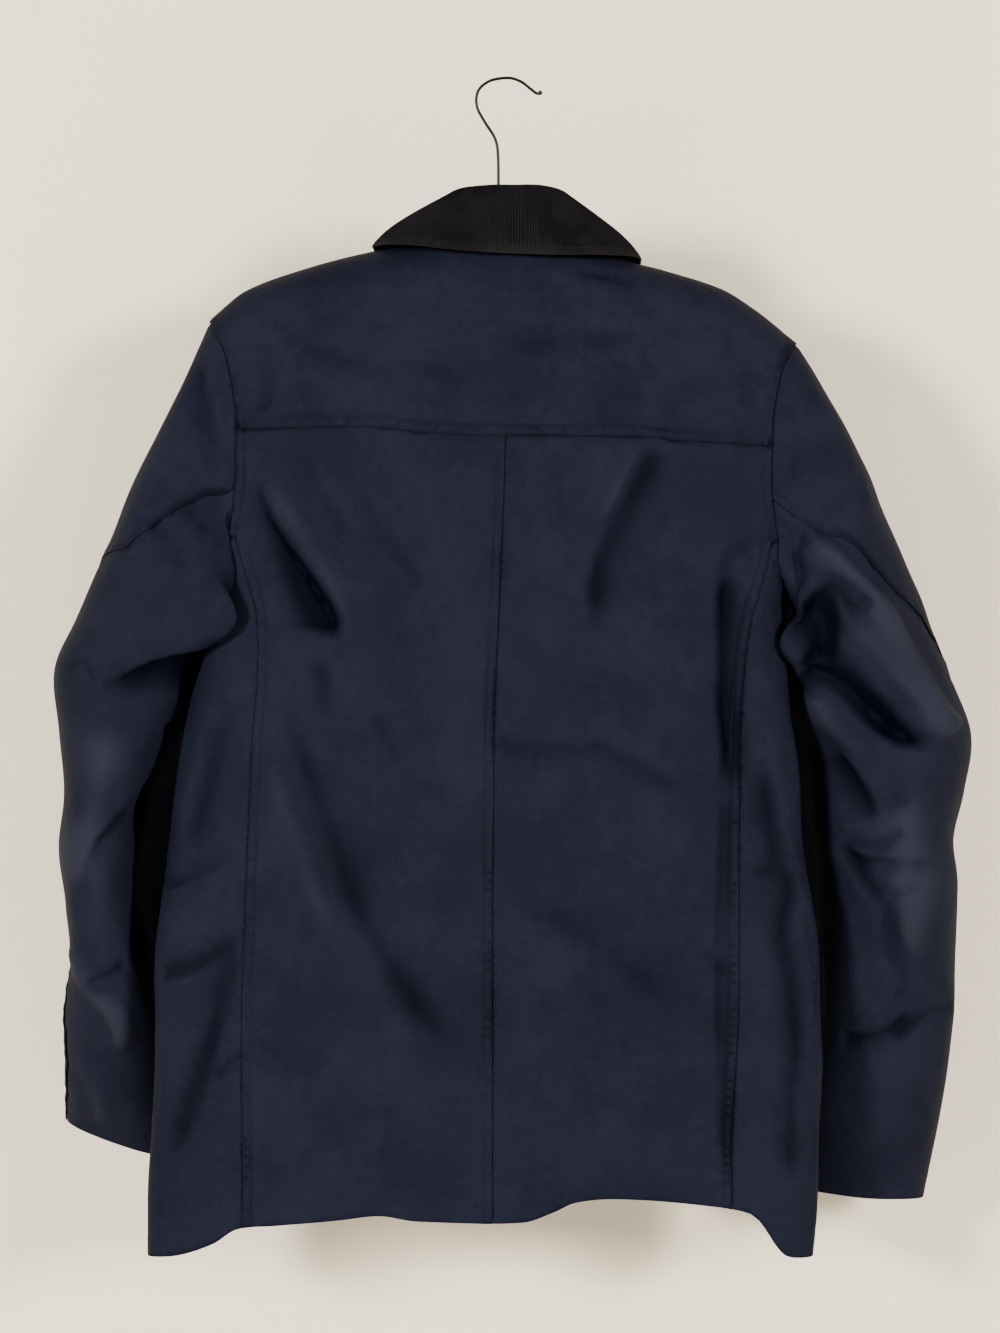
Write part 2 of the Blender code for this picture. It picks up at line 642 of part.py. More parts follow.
def front_corner(side):
    """Where the yoke's front seam meets the neckline."""
    x = NECK_MIDDLE + side * NECK_HALF
    return body_spot(x, yoke_base(x, FRONT_SEAM_OVER).z, FRONT)


def neck_front_spots(side):
    """A front's neckline from the yoke's corner to the centre front."""
    corner, middle = front_corner(side), ring_spot(side * HALF_GIRTH, NECK_FRONT_Z)
    spots = [corner]
    for angle in NECK_FRONT_ANGLES:
        swing = math.radians(angle)
        x = middle.x + (corner.x - middle.x) * math.cos(swing)
        z = corner.z + (NECK_FRONT_Z - corner.z) * math.sin(swing)
        spots.append(body_spot(x, z, FRONT))
    return spots + [middle]


def shoulder_seam_spots(side):
    """The yoke's front seam from the armhole to the neck."""
    end = ARMHOLES[side][MARKS[side]["front"]]
    corner = front_corner(side)
    spots = []
    for x in steps(end.x, corner.x, YOKE_NET)[1:-1]:
        part = (x - end.x) / (corner.x - end.x)
        over = end.over + (FRONT_SEAM_OVER - end.over) * part
        spots.append(body_spot(x, yoke_base(x, over).z, FRONT))
    return [end] + spots + [corner]


# ---------------------------------------------------------------- cutting and sewing
def flat_distance(place, start, end):
    """Distance of a flat place from a straight edge."""
    run = end - start
    part = min(max((place - start).dot(run) / max(run.length_squared, 1e-9), 0.0), 1.0)
    return (place - start - run * part).length


def inside(place, outline):
    """Whether a flat place lies inside a closed outline."""
    within = False
    for start, end in zip(outline, outline[1:] + outline[:1]):
        if (start.y > place.y) != (end.y > place.y):
            cross = start.x + (place.y - start.y) / (end.y - start.y) * (end.x - start.x)
            if place.x < cross:
                within = not within
    return within


def drawn_in(outline, amount):
    """A counter-clockwise outline drawn in by the same amount all round."""
    drawn = []
    for before, here, after in zip(outline[-1:] + outline[:-1], outline, outline[1:] + outline[:1]):
        first = (here - before).normalized()
        second = (after - here).normalized()
        inward = Vector((-first.y - second.y, first.x + second.x)).normalized()
        sharp = max(inward.dot(Vector((-first.y, first.x))), 0.35)
        drawn.append(here + inward * amount / sharp)
    return drawn


def net_points(outline, lines, size):
    """Staggered points inside an outline, clear of its edges and of the lines in it."""
    edges = list(zip(outline, outline[1:] + outline[:1]))
    for line in lines:
        edges += list(zip(line, line[1:]))
    low_x, high_x = min(p.x for p in outline), max(p.x for p in outline)
    low_y, high_y = min(p.y for p in outline), max(p.y for p in outline)
    rise = size * math.sqrt(3) / 2
    points = []
    for row in range(math.floor(low_y / rise), math.ceil(high_y / rise) + 1):
        shift = size / 2 if row % 2 else 0.0
        for step in range(math.floor(low_x / size) - 1, math.ceil(high_x / size) + 1):
            place = Vector((step * size + shift, row * rise))
            if not inside(place, outline):
                continue
            if all(flat_distance(place, *edge) > 0.52 * size for edge in edges):
                points.append(place)
    return points


def cut_flat(outline, lines, size):
    """Fill a closed flat outline with a net of triangles that keeps to the lines in it."""
    places = list(outline)
    edges = [(i, (i + 1) % len(outline)) for i in range(len(outline))]
    for line in lines:
        first = len(places)
        places += line
        edges += [(first + i, first + i + 1) for i in range(len(line) - 1)]
    places += net_points(outline, lines, size)
    ring = [list(range(len(outline)))]
    found, _, triangles, origins, _, _ = delaunay_2d_cdt(places, edges, ring, 1, 1e-5)
    return found, triangles, origins


def sew(name, material, points, facings, faces, wall):
    """Make one solid piece of cloth from its outer points, giving it its wall inwards."""
    mesh = bpy.data.meshes.new(name)
    form = bmesh.new()
    outer = [form.verts.new(point * MM) for point in points]
    for face in faces:
        form.faces.new([outer[index] for index in face])
    lookup = {vert: index for index, vert in enumerate(outer)}
    sheet = list(form.faces)
    made = bmesh.ops.extrude_face_region(form, geom=sheet, use_keep_orig=True)
    copies = [item for item in made["geom"] if isinstance(item, bmesh.types.BMVert)]
    placed = {tuple(round(c, 7) for c in vert.co): lookup[vert] for vert in outer}
    for vert in copies:
        index = placed[tuple(round(c, 7) for c in vert.co)]
        vert.co -= facings[index] * wall * MM
    bmesh.ops.triangulate(form, faces=form.faces, quad_method="SHORT_EDGE")
    bmesh.ops.recalc_face_normals(form, faces=form.faces)
    form.to_mesh(mesh)
    form.free()
    mesh.shade_smooth()
    mesh.set_sharp_from_angle(angle=math.radians(50))
    piece = bpy.data.objects.new(name, mesh)
    piece.data.materials.append(material)
    PIECES.objects.link(piece)


def lift(places, moved_out):
    """Move (point, facing) places out along the way they face."""
    return [(point + facing * moved_out, facing) for point, facing in places]


def cut_piece(name, material, spots, flat, place, size, lines=()):
    """Cut a piece by its outline of spots, lay it on its form and give it its wall.

    `flat` says where a spot lies in the flat cut, and `place` what a flat place becomes.
    Returns the flat cut.
    """
    outline = [Vector(flat(spot)) for spot in spots]
    turned = sum(a.x * b.y - b.x * a.y for a, b in zip(outline, outline[1:] + outline[:1]))
    if turned < 0:
        spots, outline = spots[::-1], outline[::-1]
    found, triangles, origins = cut_flat(outline, [[Vector(p) for p in line] for line in lines], size)
    inset = drawn_in(outline, SEAM_GAP / 2)
    places = []
    for flat_place, origin in zip(found, origins):
        border = next((i for i in origin if i < len(outline)), None)
        if border is None:
            places.append(place(*flat_place))
            continue
        point, facing = place(*inset[border])
        places.append((point, spots[border].facing if spots[border].turn else facing))
    sew(name, material, [p for p, _ in places], [f for _, f in places], triangles, WALL)
    return found, triangles


def on_body(spot):
    return spot.girth, spot.z


def on_yoke(spot):
    return spot.x, spot.over


# ---------------------------------------------------------------- body pieces
def pocket_lines(side):
    """Lines in a front's flat cut: a pocket's edge, and the lower edge of its flap."""
    start = side * (SIDE_GIRTH + POCKET_FROM_EDGE[side])
    end = start + side * POCKET_WIDTH
    edge = [(g, POCKET_TOP) for g in steps(start, end, FRONT_NET)]
    edge += [(end, z) for z in steps(POCKET_TOP, POCKET_BOTTOM, FRONT_NET)[1:]]
    edge += [(g, POCKET_BOTTOM) for g in steps(end, start, FRONT_NET)[1:]]
    edge += [(start, z) for z in steps(POCKET_BOTTOM, POCKET_TOP, FRONT_NET)[1:]]
    return edge, [(g, FLAP_BOTTOM) for g in steps(start, end, FRONT_NET)]


def lay_on(name, material, cut, box, moved_out):
    """A piece lying on a body panel: the part of its cut inside a flat box, moved out."""
    found, triangles = cut
    low, high = box
    kept = []
    for triangle in triangles:
        middle = sum((found[i] for i in triangle), Vector((0, 0))) / 3
        if low[0] < middle.x < high[0] and low[1] < middle.y < high[1]:
            kept.append(triangle)
    used = sorted({index for triangle in kept for index in triangle})
    places = lift([body_place(*found[index]) for index in used], moved_out)
    faces = [[used.index(index) for index in triangle] for triangle in kept]
    sew(name, material, [p for p, _ in places], [f for _, f in places], faces, WALL)


def make_back(side, cotton):
    seam = side_back_spots(side)
    centre = centre_back_spots()
    marks = MARKS[side]
    armhole = ARMHOLES[side][marks["yoke"]:marks["side_back"] + 1]
    spots = yoke_seam_spots(side) + armhole[1:] + seam[1:]
    spots += hem_spots(seam[-1], centre[-1], BACK_NET) + centre[::-1][:-1]
    cut_piece(f"back_{SIDE_NAMES[side]}", cotton, spots, on_body, body_place, BACK_NET)


def make_side(side, cotton):
    inner, outer = side_back_spots(side), side_spots(side)
    marks = MARKS[side]
    armhole = ARMHOLES[side][marks["side_back"]:marks["side"] + 1]
    spots = armhole + outer[1:] + hem_spots(outer[-1], inner[-1], SIDE_NET) + inner[::-1][:-1]
    cut_piece(f"side_{SIDE_NAMES[side]}", cotton, spots, on_body, body_place, SIDE_NET)


def make_front(side, cotton):
    marks = MARKS[side]
    armhole = ARMHOLES[side][marks["side"]:marks["front"] + 1]
    neck, centre = neck_front_spots(side), centre_front_spots(side)
    outer = side_spots(side)
    hem = hem_spots(centre[-1], outer[-1], FRONT_NET)
    spots = armhole + shoulder_seam_spots(side)[1:] + neck[1:] + centre[1:] + hem + outer[::-1][:-1]
    name, lines = SIDE_NAMES[side], pocket_lines(side)
    cut = cut_piece(f"front_{name}", cotton, spots, on_body, body_place, FRONT_NET, lines)
    girths = sorted(girth for girth, _ in lines[1])
    lay_on(f"pocket_{name}", cotton, cut,
           ((girths[0], POCKET_BOTTOM), (girths[-1], POCKET_TOP)), WALL + LAID_GAP)
    lay_on(f"pocket_flap_{name}", cotton, cut,
           ((girths[0], FLAP_BOTTOM), (girths[-1], POCKET_TOP)), 2 * (WALL + LAID_GAP))


def make_yoke(cotton):
    back = yoke_seam_spots(LEFT)[::-1] + yoke_seam_spots(RIGHT)[1:]
    right = (ARMHOLES[RIGHT][:MARKS[RIGHT]["yoke"]][::-1]
             + ARMHOLES[RIGHT][MARKS[RIGHT]["front"]:][::-1])
    left = ARMHOLES[LEFT][MARKS[LEFT]["front"]:] + ARMHOLES[LEFT][:MARKS[LEFT]["yoke"]]
    spots = back + right + shoulder_seam_spots(RIGHT)[1:-1] + neck_spots()[::-1]
    spots += shoulder_seam_spots(LEFT)[::-1][1:-1] + left
    bar = [x for x in steps(*BAR_ENDS, BAR_STEP)]
    neck_left, neck_right = NECK_MIDDLE - NECK_HALF - 8, NECK_MIDDLE + NECK_HALF + 8
    ridges = [[(x, 0.0) for x in bar if x < neck_left], [(x, 0.0) for x in bar if x > neck_right]]
    cut_piece("back_yoke", cotton, spots, on_yoke, yoke_place, YOKE_NET, lines=ridges)


def make_placket(cotton):
    """The strip over the centre front, square to it."""
    points, facings, faces = [], [], []
    spans = [-1.0, 0.0, 1.0]
    heights = [PLACKET_TOP + (PLACKET_BOTTOM - PLACKET_TOP) * i / PLACKET_ROWS
               for i in range(PLACKET_ROWS + 1)]
    for z in heights:
        for span in spans:
            girth = math.copysign(HALF_GIRTH - abs(span) * PLACKET_HALF, span or 1.0)
            point, facing = body_place(girth, z)
            points.append(point + facing * (WALL + PLACKET_GAP))
            facings.append(facing)
    wide = len(spans)
    for row in range(len(heights) - 1):
        for step in range(wide - 1):
            corner = row * wide + step
            faces.append((corner, corner + 1, corner + wide + 1, corner + wide))
    sew("front_placket", cotton, points, facings, faces, WALL)


def make_studs(metal):
    """Press studs down the placket."""
    for number, z in enumerate(STUD_HEIGHTS, start=1):
        point, facing = body_place(HALF_GIRTH, z)
        rise = WALL + PLACKET_GAP + STUD_GAP + STUD_DEPTH / 2
        bpy.ops.mesh.primitive_cylinder_add(
            vertices=16, radius=STUD_RADIUS * MM, depth=STUD_DEPTH * MM,
            location=(point + facing * rise) * MM,
            rotation=facing.to_track_quat("Z", "Y").to_euler())
        stud = bpy.context.object
        stud.name = f"press_stud_{number}"
        stud.data.materials.append(metal)
        gather(stud)


# ---------------------------------------------------------------- sleeves
def half_turn(turn):
    """The same angle between -180 and 180 degrees."""
    return (turn + 180) % 360 - 180


class SleeveForm:
    """The form of one sleeve, by ring number down it and angle round it."""

    def __init__(self, side):
        self.side = side
        rings = SLEEVE_RINGS[side]
        self.last = len(rings) - 1
        self.curves = {name: smooth_curve([(i, getattr(ring, name)) for i, ring in enumerate(rings)])
                       for name in SleeveRing._fields}
        self.back_seam = column(BACK_SEAM_TURNS[side], "ring", "turn")
        self.front_seam = column(FRONT_SEAM_TURNS, "ring", "turn")
        self.loop = ARMHOLES[side]
        self.heart = self.middle(0.0)
        self.clear = Vector((side * ARMHOLE_GAP, 0, 0))
        self.lengths = [0.0]
        for tenth in range(1, self.last * 10 + 1):
            run = self.middle(tenth / 10) - self.middle((tenth - 1) / 10)
            self.lengths.append(self.lengths[-1] + run.length)

    def at(self, name, ring):
        return self.curves[name](ring)

    def middle(self, ring):
        return Vector(((self.at("out_x", ring) + self.at("in_x", ring)) / 2, self.at("mid_y", ring),
                       (self.at("out_z", ring) + self.at("in_z", ring)) / 2))

    def ring_at(self, length):
        """The ring number at a length down the sleeve."""
        length = min(max(length, 0.0), self.lengths[-1])
        index = next(i for i, reach in enumerate(self.lengths) if reach >= length - 1e-9)
        if index == 0:
            return 0.0
        before, after = self.lengths[index - 1], self.lengths[index]
        return (index - 1 + (length - before) / (after - before)) / 10

    def length_of(self, ring):
        low = min(int(ring * 10), len(self.lengths) - 2)
        part = ring * 10 - low
        return self.lengths[low] * (1 - part) + self.lengths[low + 1] * part

    def armhole_offset(self, turn):
        """From the armhole's middle to its seam, at an angle round it."""
        turn %= 360.0
        for here, after in zip(self.loop, self.loop[1:] + self.loop[:1]):
            end = after.turn or 360.0
            if here.turn <= turn <= end:
                part = (turn - here.turn) / (end - here.turn)
                return here.point.lerp(after.point, part) - self.heart + self.clear
        return self.loop[0].point - self.heart + self.clear

    def base(self, turn, ring):
        """The sleeve's smooth form."""
        angle = math.radians(turn)
        across = signed_power(math.cos(angle), 2 / SLEEVE_POWER)
        half = Vector((self.at("out_x", ring) - self.at("in_x", ring), 0.0,
                       self.at("out_z", ring) - self.at("in_z", ring))) / 2
        back = signed_power(math.sin(angle), 2 / SLEEVE_POWER)
        lean = -self.side * self.at("lean", ring) * ease(-back)
        offset = half * across + Vector((lean, -self.at("depth", ring) * back, 0.0))
        share = ease(ring / SLEEVE_BLEND_RINGS)
        if share < 1:
            offset = self.armhole_offset(turn).lerp(offset, share)
        return self.middle(ring) + offset

    def normal(self, turn, ring):
        round_it = self.base(turn + 3, ring) - self.base(turn - 3, ring)
        low, high = max(ring - 0.05, 0.0), min(ring + 0.05, self.last)
        down = self.base(turn, high) - self.base(turn, low)
        return (down.cross(round_it) * -self.side).normalized()

    def push(self, turn, ring, base):
        """How far the sleeve's folds push in."""
        behind = self.at("mid_y", ring) - base.y
        if behind > 0:
            fade = ease(behind / SLEEVE_FOLD_FADE) * ease(ring / 0.8)
            return fold_depth(SLEEVE_FOLDS[self.side], base.x, base.z) * fade
        away = (half_turn(turn) - ELBOW_FRONT_TURN) / 60
        soft = sum(math.exp(-((ring - centre) / 0.45) ** 2) for centre in ELBOW_FRONT_RINGS)
        return ELBOW_FRONT_DEPTH * soft * math.exp(-away * away) * ease(-behind / SLEEVE_FOLD_FADE)

    def bulge(self, turn, ring):
        """How the sleeve sags out of its smooth form."""
        total = Vector((0, 0, 0))
        for row in SLEEVE_BULGES[self.side]:
            aside = abs(half_turn(turn - row.turn)) / row.turn_reach
            along = abs(ring - row.ring) / row.ring_reach
            if aside < 1 and along < 1:
                total += Vector((row.x, row.y, row.z)) * (1 - ease(aside)) * (1 - ease(along))
        return total

    def place(self, around, length):
        """Outer place and facing for a flat place of the sleeve's cut."""
        turn, ring = around / SLEEVE_GIRTH * 360, self.ring_at(length)
        base, facing = self.base(turn, ring), self.normal(turn, ring)
        return base - facing * self.push(turn, ring, base) + self.bulge(turn, ring), facing


def make_sleeve(side, cotton):
    """The upper and the under piece of one sleeve."""
    form = SleeveForm(side)
    loop = form.loop

    def nearest(turn):
        return min(range(len(loop)), key=lambda i: abs(loop[i].turn - turn))

    back, front = nearest(form.back_seam(0.0)), nearest(360 + form.front_seam(0.0))
    rings = [form.ring_at(length) for length in steps(0.0, form.lengths[-1], SLEEVE_NET)][1:]

    def seam_line(curve, start):
        """A sleeve seam from its armhole spot to the cuff, as turns and lengths."""
        lead = start - curve(0.0)
        line = []
        for ring in rings:
            line.append((curve(ring) + lead * (1 - ease(ring / 2)), form.length_of(ring)))
        return line

    def spot(turn, length, facing=None):
        flat = turn / 360 * SLEEVE_GIRTH
        return Spot(flat, length, 0.0, 0.0, None, facing, 1.0 if facing else 0.0)

    back_line = seam_line(form.back_seam, loop[back].turn)
    front_line = seam_line(form.front_seam, loop[front].turn - 360)
    under_front = [(turn + 360, length) for turn, length in front_line]
    upper_top = [spot(s.turn - 360, 0.0, s.facing) for s in loop[front:]]
    upper_top += [spot(s.turn, 0.0, s.facing) for s in loop[:back + 1]]
    under_top = [spot(s.turn, 0.0, s.facing) for s in loop[back:front + 1]]

    def outline(top, right, left):
        cuff = steps(right[-1][0], left[-1][0], SLEEVE_NET / SLEEVE_GIRTH * 360)[1:-1]
        line = top + [spot(*end) for end in right]
        line += [spot(turn, right[-1][1]) for turn in cuff]
        return line + [spot(*end) for end in left[::-1]]

    for name, spots in (("upper", outline(upper_top, back_line, front_line)),
                        ("under", outline(under_top, under_front, back_line))):
        cut_piece(f"sleeve_{name}_{SIDE_NAMES[side]}", cotton, spots, on_body, form.place,
                  SLEEVE_NET)


# ---------------------------------------------------------------- collar
def collar_turns():
    """Neckline points from the left front round the back to the right front, with angles."""
    left = [spot.point for spot in neck_front_spots(LEFT)[-2:0:-1]]
    right = [spot.point for spot in neck_front_spots(RIGHT)[1:-1]]
    points = left + [spot.point for spot in neck_spots()] + right
    ways = [0.0]
    for before, here in zip(points, points[1:]):
        ways.append(ways[-1] + (here - before).length)
    first, last = COLLAR_RIBS[0].turn, COLLAR_RIBS[-1].turn
    return points, [first + (last - first) * way / ways[-1] for way in ways]


def make_collar(corduroy):
    """The stand from the neckline to the fold, and the fall rolled over it."""
    ribs = {name: column(COLLAR_RIBS, "turn", name) for name in CollarRib._fields[1:]}
    up = Vector((0, 0, 1))
    neck, turns = collar_turns()
    stand, fall = [], []
    for foot, turn in zip(neck, turns):
        fold = Vector([ribs[f"fold_{axis}"](turn) for axis in "xyz"])
        edge = Vector([ribs[f"edge_{axis}"](turn) for axis in "xyz"])
        out = Vector((edge.x - fold.x, edge.y - fold.y, 0.0)).normalized()
        inner = fold - out * ROLL_RADIUS - up * ROLL_DEPTH
        top = inner + out * COLLAR_WALL - up * STAND_GAP
        inward = (Vector((NECK_MIDDLE, NECK_MIDDLE_Y, foot.z)) - foot).normalized()
        seat = foot + up * SEAM_GAP + inward * NECK_CLEAR
        stand.append([seat.lerp(top, row / STAND_ROWS) for row in range(STAND_ROWS + 1)])
        line = [inner]
        for angle in ROLL_ANGLES:
            swing = math.radians(angle)
            line.append(fold + out * ROLL_RADIUS * math.cos(swing)
                        + up * ROLL_RADIUS * (math.sin(swing) - 1))
        start = line[-1]
        for row in range(1, FALL_ROWS + 1):
            part = row / FALL_ROWS
            swell = FALL_SWELL * math.sin(math.pi * part)
            line.append(start.lerp(edge, part) + (out + up * 0.6) * swell)
        fall.append(line)
    sew_strip("collar_stand", corduroy, stand, COLLAR_WALL, 1)
    sew_strip("collar_fall", corduroy, fall, COLLAR_WALL, -1)


def bisected(before, here, after):
    """Direction of a line at one of its points, its two neighbours counting alike."""
    return (here - before).normalized() + (after - here).normalized()


def sew_strip(name, material, columns, wall, hand):
    """A piece from columns of outer points, faced by the turn of its own surface."""
    wide, tall = len(columns), len(columns[0])
    facings = []
    for i in range(wide):
        for j in range(tall):
            here = columns[i][j]
            along = bisected(columns[max(i - 1, 0)][j], here, columns[min(i + 1, wide - 1)][j])
            up = bisected(columns[i][max(j - 1, 0)], here, columns[i][min(j + 1, tall - 1)])
            facings.append(along.cross(up).normalized() * hand)
    faces = [(i * tall + j, (i + 1) * tall + j, (i + 1) * tall + j + 1, i * tall + j + 1)
             for i in range(wide - 1) for j in range(tall - 1)]
    points = [point for line in columns for point in line]
    sew(name, material, points, facings, faces, wall)


# ---------------------------------------------------------------- hanger
def tube(name, material, points, radii):
    """A round bar or wire along a line of points."""
    curve = bpy.data.curves.new(name, "CURVE")
    curve.dimensions = "3D"
    curve.bevel_depth = MM
    curve.bevel_resolution = 2
    curve.use_fill_caps = True
    line = curve.splines.new("POLY")
    line.points.add(len(points) - 1)
    for knot, point, radius in zip(line.points, points, radii):
        knot.co = (*(point * MM), 1.0)
        knot.radius = radius
    piece = bpy.data.objects.new(name, curve)
    curve.materials.append(material)
    PIECES.objects.link(piece)
    return piece


def under_shoulder(x, depth):
    """A point so far under the shoulder line, measured square to it."""
    slope = (shoulder_z(x + 1) - shoulder_z(x - 1)) / 2
    return Vector((x, 0.0, shoulder_z(x))) - Vector((-slope, 0.0, 1.0)).normalized() * depth


def make_hanger(wood, wire):
    depth = WALL + BAR_GAP + BAR_RADIUS
    bar = [under_shoulder(x, depth) for x in steps(*BAR_ENDS, BAR_STEP)]
    tube("hanger_bar", wood, bar, [BAR_RADIUS] * len(bar))
    ways = [0.0]
    for before, here in zip(HOOK_ROUTE, HOOK_ROUTE[1:]):
        ways.append(ways[-1] + math.dist(before, here))
    route_x = smooth_curve([(way, knot.x) for way, knot in zip(ways, HOOK_ROUTE)])
    route_z = smooth_curve([(way, knot.z) for way, knot in zip(ways, HOOK_ROUTE)])
    points = [Vector((route_x(way), 0.0, route_z(way))) for way in steps(0, ways[-1], HOOK_STEP)]
    points[0].z = under_shoulder(HOOK_ROUTE[0].x, WALL + BAR_GAP).z + SEAM_GAP
    tube("hanger_hook", wire, points, [WIRE_RADIUS] * (len(points) - 2) + [BALL_RADIUS] * 2)


# ---------------------------------------------------------------- the whole
def finish(name, colour, roughness, metallic=0.0):
    """A plain surface finish."""
    material = bpy.data.materials.new(name)
    material.use_nodes = True
    shader = material.node_tree.nodes["Principled BSDF"]
    shader.inputs["Base Color"].default_value = (*colour, 1.0)
    shader.inputs["Roughness"].default_value = roughness
    shader.inputs["Metallic"].default_value = metallic
    return material


def gather(piece):
    """Move an object made by an operator into the jacket's collection."""
    for holder in list(piece.users_collection):
        holder.objects.unlink(piece)
    PIECES.objects.link(piece)


def clear_scene():
    for old in list(bpy.data.objects):
        bpy.data.objects.remove(old, do_unlink=True)


clear_scene()
PIECES = bpy.data.collections.new("waxed_cotton_jacket")
bpy.context.scene.collection.children.link(PIECES)


def main():
    cotton = finish("waxed_cotton", (0.019, 0.022, 0.036), 0.55)
    corduroy = finish("corduroy", (0.009, 0.009, 0.011), 0.9)
    metal = finish("dull_metal", (0.20, 0.19, 0.18), 0.4, 1.0)
    wire = finish("chromed_wire", (0.62, 0.62, 0.64), 0.2, 1.0)
    wood = finish("dark_wood", (0.05, 0.035, 0.025), 0.5)
    make_yoke(cotton)
    for side in (LEFT, RIGHT):
        make_back(side, cotton)
        make_side(side, cotton)
        make_front(side, cotton)
        make_sleeve(side, cotton)
    make_placket(cotton)
    make_studs(metal)
    make_collar(corduroy)
    make_hanger(wood, wire)


main()
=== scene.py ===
"""Waxed cotton jacket on its hanger: finished cloth, corduroy, thread, wood and metal.

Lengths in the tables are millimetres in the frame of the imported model: +Z up, the back of the
jacket towards -Y and its right side at +X. They become metres when a mesh is made. Each piece
of cloth is cut flat, filled with a net of points, laid on the form of the body, of a sleeve or
of the collar with its folds and seams, and given its wall.
"""
from __future__ import annotations

import json
import logging
import math
from dataclasses import dataclass, field
from enum import Enum
from typing import Callable, NamedTuple, Sequence, Union

import bpy
import numpy as np
from mathutils.geometry import delaunay_2d_cdt
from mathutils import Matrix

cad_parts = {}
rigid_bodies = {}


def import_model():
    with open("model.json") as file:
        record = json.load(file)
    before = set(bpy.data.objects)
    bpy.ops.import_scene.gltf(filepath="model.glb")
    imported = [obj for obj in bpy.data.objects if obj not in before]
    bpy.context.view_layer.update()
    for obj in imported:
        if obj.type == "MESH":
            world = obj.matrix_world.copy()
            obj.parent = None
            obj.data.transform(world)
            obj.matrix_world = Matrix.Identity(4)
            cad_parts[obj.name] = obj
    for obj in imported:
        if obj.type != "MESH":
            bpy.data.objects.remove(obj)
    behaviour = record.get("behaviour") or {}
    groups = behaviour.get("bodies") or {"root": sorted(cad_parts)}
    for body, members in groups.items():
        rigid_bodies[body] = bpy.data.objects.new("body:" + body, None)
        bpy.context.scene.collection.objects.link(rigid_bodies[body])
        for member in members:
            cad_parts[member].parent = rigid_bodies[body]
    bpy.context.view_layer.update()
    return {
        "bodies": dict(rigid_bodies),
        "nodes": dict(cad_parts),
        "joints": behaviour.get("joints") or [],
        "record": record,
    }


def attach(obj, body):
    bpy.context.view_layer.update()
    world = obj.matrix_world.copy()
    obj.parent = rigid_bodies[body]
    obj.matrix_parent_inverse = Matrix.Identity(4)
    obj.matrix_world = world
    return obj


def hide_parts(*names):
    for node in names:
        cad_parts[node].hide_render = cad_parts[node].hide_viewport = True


LOG = logging.getLogger("jacket")
MM = 0.001
Array = np.ndarray
Material, Object = bpy.types.Material, bpy.types.Object
Node, Socket = bpy.types.Node, bpy.types.NodeSocket


class Side(Enum):
    """A side of the jacket, seen from behind."""

    LEFT = -1
    RIGHT = 1

    @property
    def word(self) -> str:
        """The side's name inside the names of pieces."""
        return self.name.lower()


class Face(Enum):
    """The back or the front of the body."""

    BACK = -1
    FRONT = 1


class SeamRole(Enum):
    """What a piece does at one of its edges."""

    LAP = "lies over its neighbour and carries the stitching"
    UNDER = "runs on beneath its neighbour"
    EDGE = "is a finished edge"


def table(kind: type, rows: Sequence[Sequence]) -> tuple:
    """The rows of a table with their columns named."""
    return tuple(kind(*row) for row in rows)


def by_side(left: object, right: object) -> dict:
    """A dataclass field with a value for each side of the jacket."""
    return field(default_factory=lambda: {Side.LEFT: left, Side.RIGHT: right})


# ---------------------------------------------------------------- curves and folds
def ease(part: Array) -> Array:
    """Smooth step from 0 to 1."""
    part = np.clip(part, 0.0, 1.0)
    return part * part * (3 - 2 * part)


def unit(rows: Array) -> Array:
    """Rows of vectors scaled to length 1."""
    return rows / np.maximum(np.linalg.norm(rows, axis=-1, keepdims=True), 1e-9)


def signed_power(value: Array, power: float) -> Array:
    """A power that keeps the sign."""
    return np.sign(value) * np.abs(value) ** power


def steps(start: float, end: float, size: float) -> Array:
    """Evenly spaced values from start to end, about `size` apart."""
    return np.linspace(start, end, max(1, round(abs(end - start) / size)) + 1)


def rows_of(*columns: Union[Array, float]) -> Array:
    """Points from their columns, a single number filling its column."""
    return np.stack(np.broadcast_arrays(*columns), axis=-1)


def ways_along(points: Array) -> Array:
    """The way along a line to each of its points."""
    return np.concatenate([[0.0], np.cumsum(np.linalg.norm(np.diff(points, axis=0), axis=1))])


def between(places: Array, marks: Array, rows: Array) -> Array:
    """Rows given at marks, read at places between them."""
    return np.stack([np.interp(places, marks, values) for values in rows.T], axis=1)


def rounded_line(knots: Sequence[Sequence[float]], parts: int = 7) -> Array:
    """A smooth line through a few knots.

    Args:
        knots: Points of the line, in any number of dimensions.
        parts: Straight parts between two knots.

    Returns:
        Points along the line, both ends among them.
    """
    knots = np.asarray(knots, float)
    padded = np.vstack([2 * knots[0] - knots[1], knots, 2 * knots[-1] - knots[-2]])
    points = [knots[:1]]
    for a, b, c, d in zip(padded, padded[1:], padded[2:], padded[3:]):
        t = (np.arange(1, parts + 1) / parts)[:, None]
        points.append(0.5 * (2 * b + (c - a) * t + (2 * a - 5 * b + 4 * c - d) * t ** 2
                             + (3 * b - a - 3 * c + d) * t ** 3))
    return np.vstack(points)


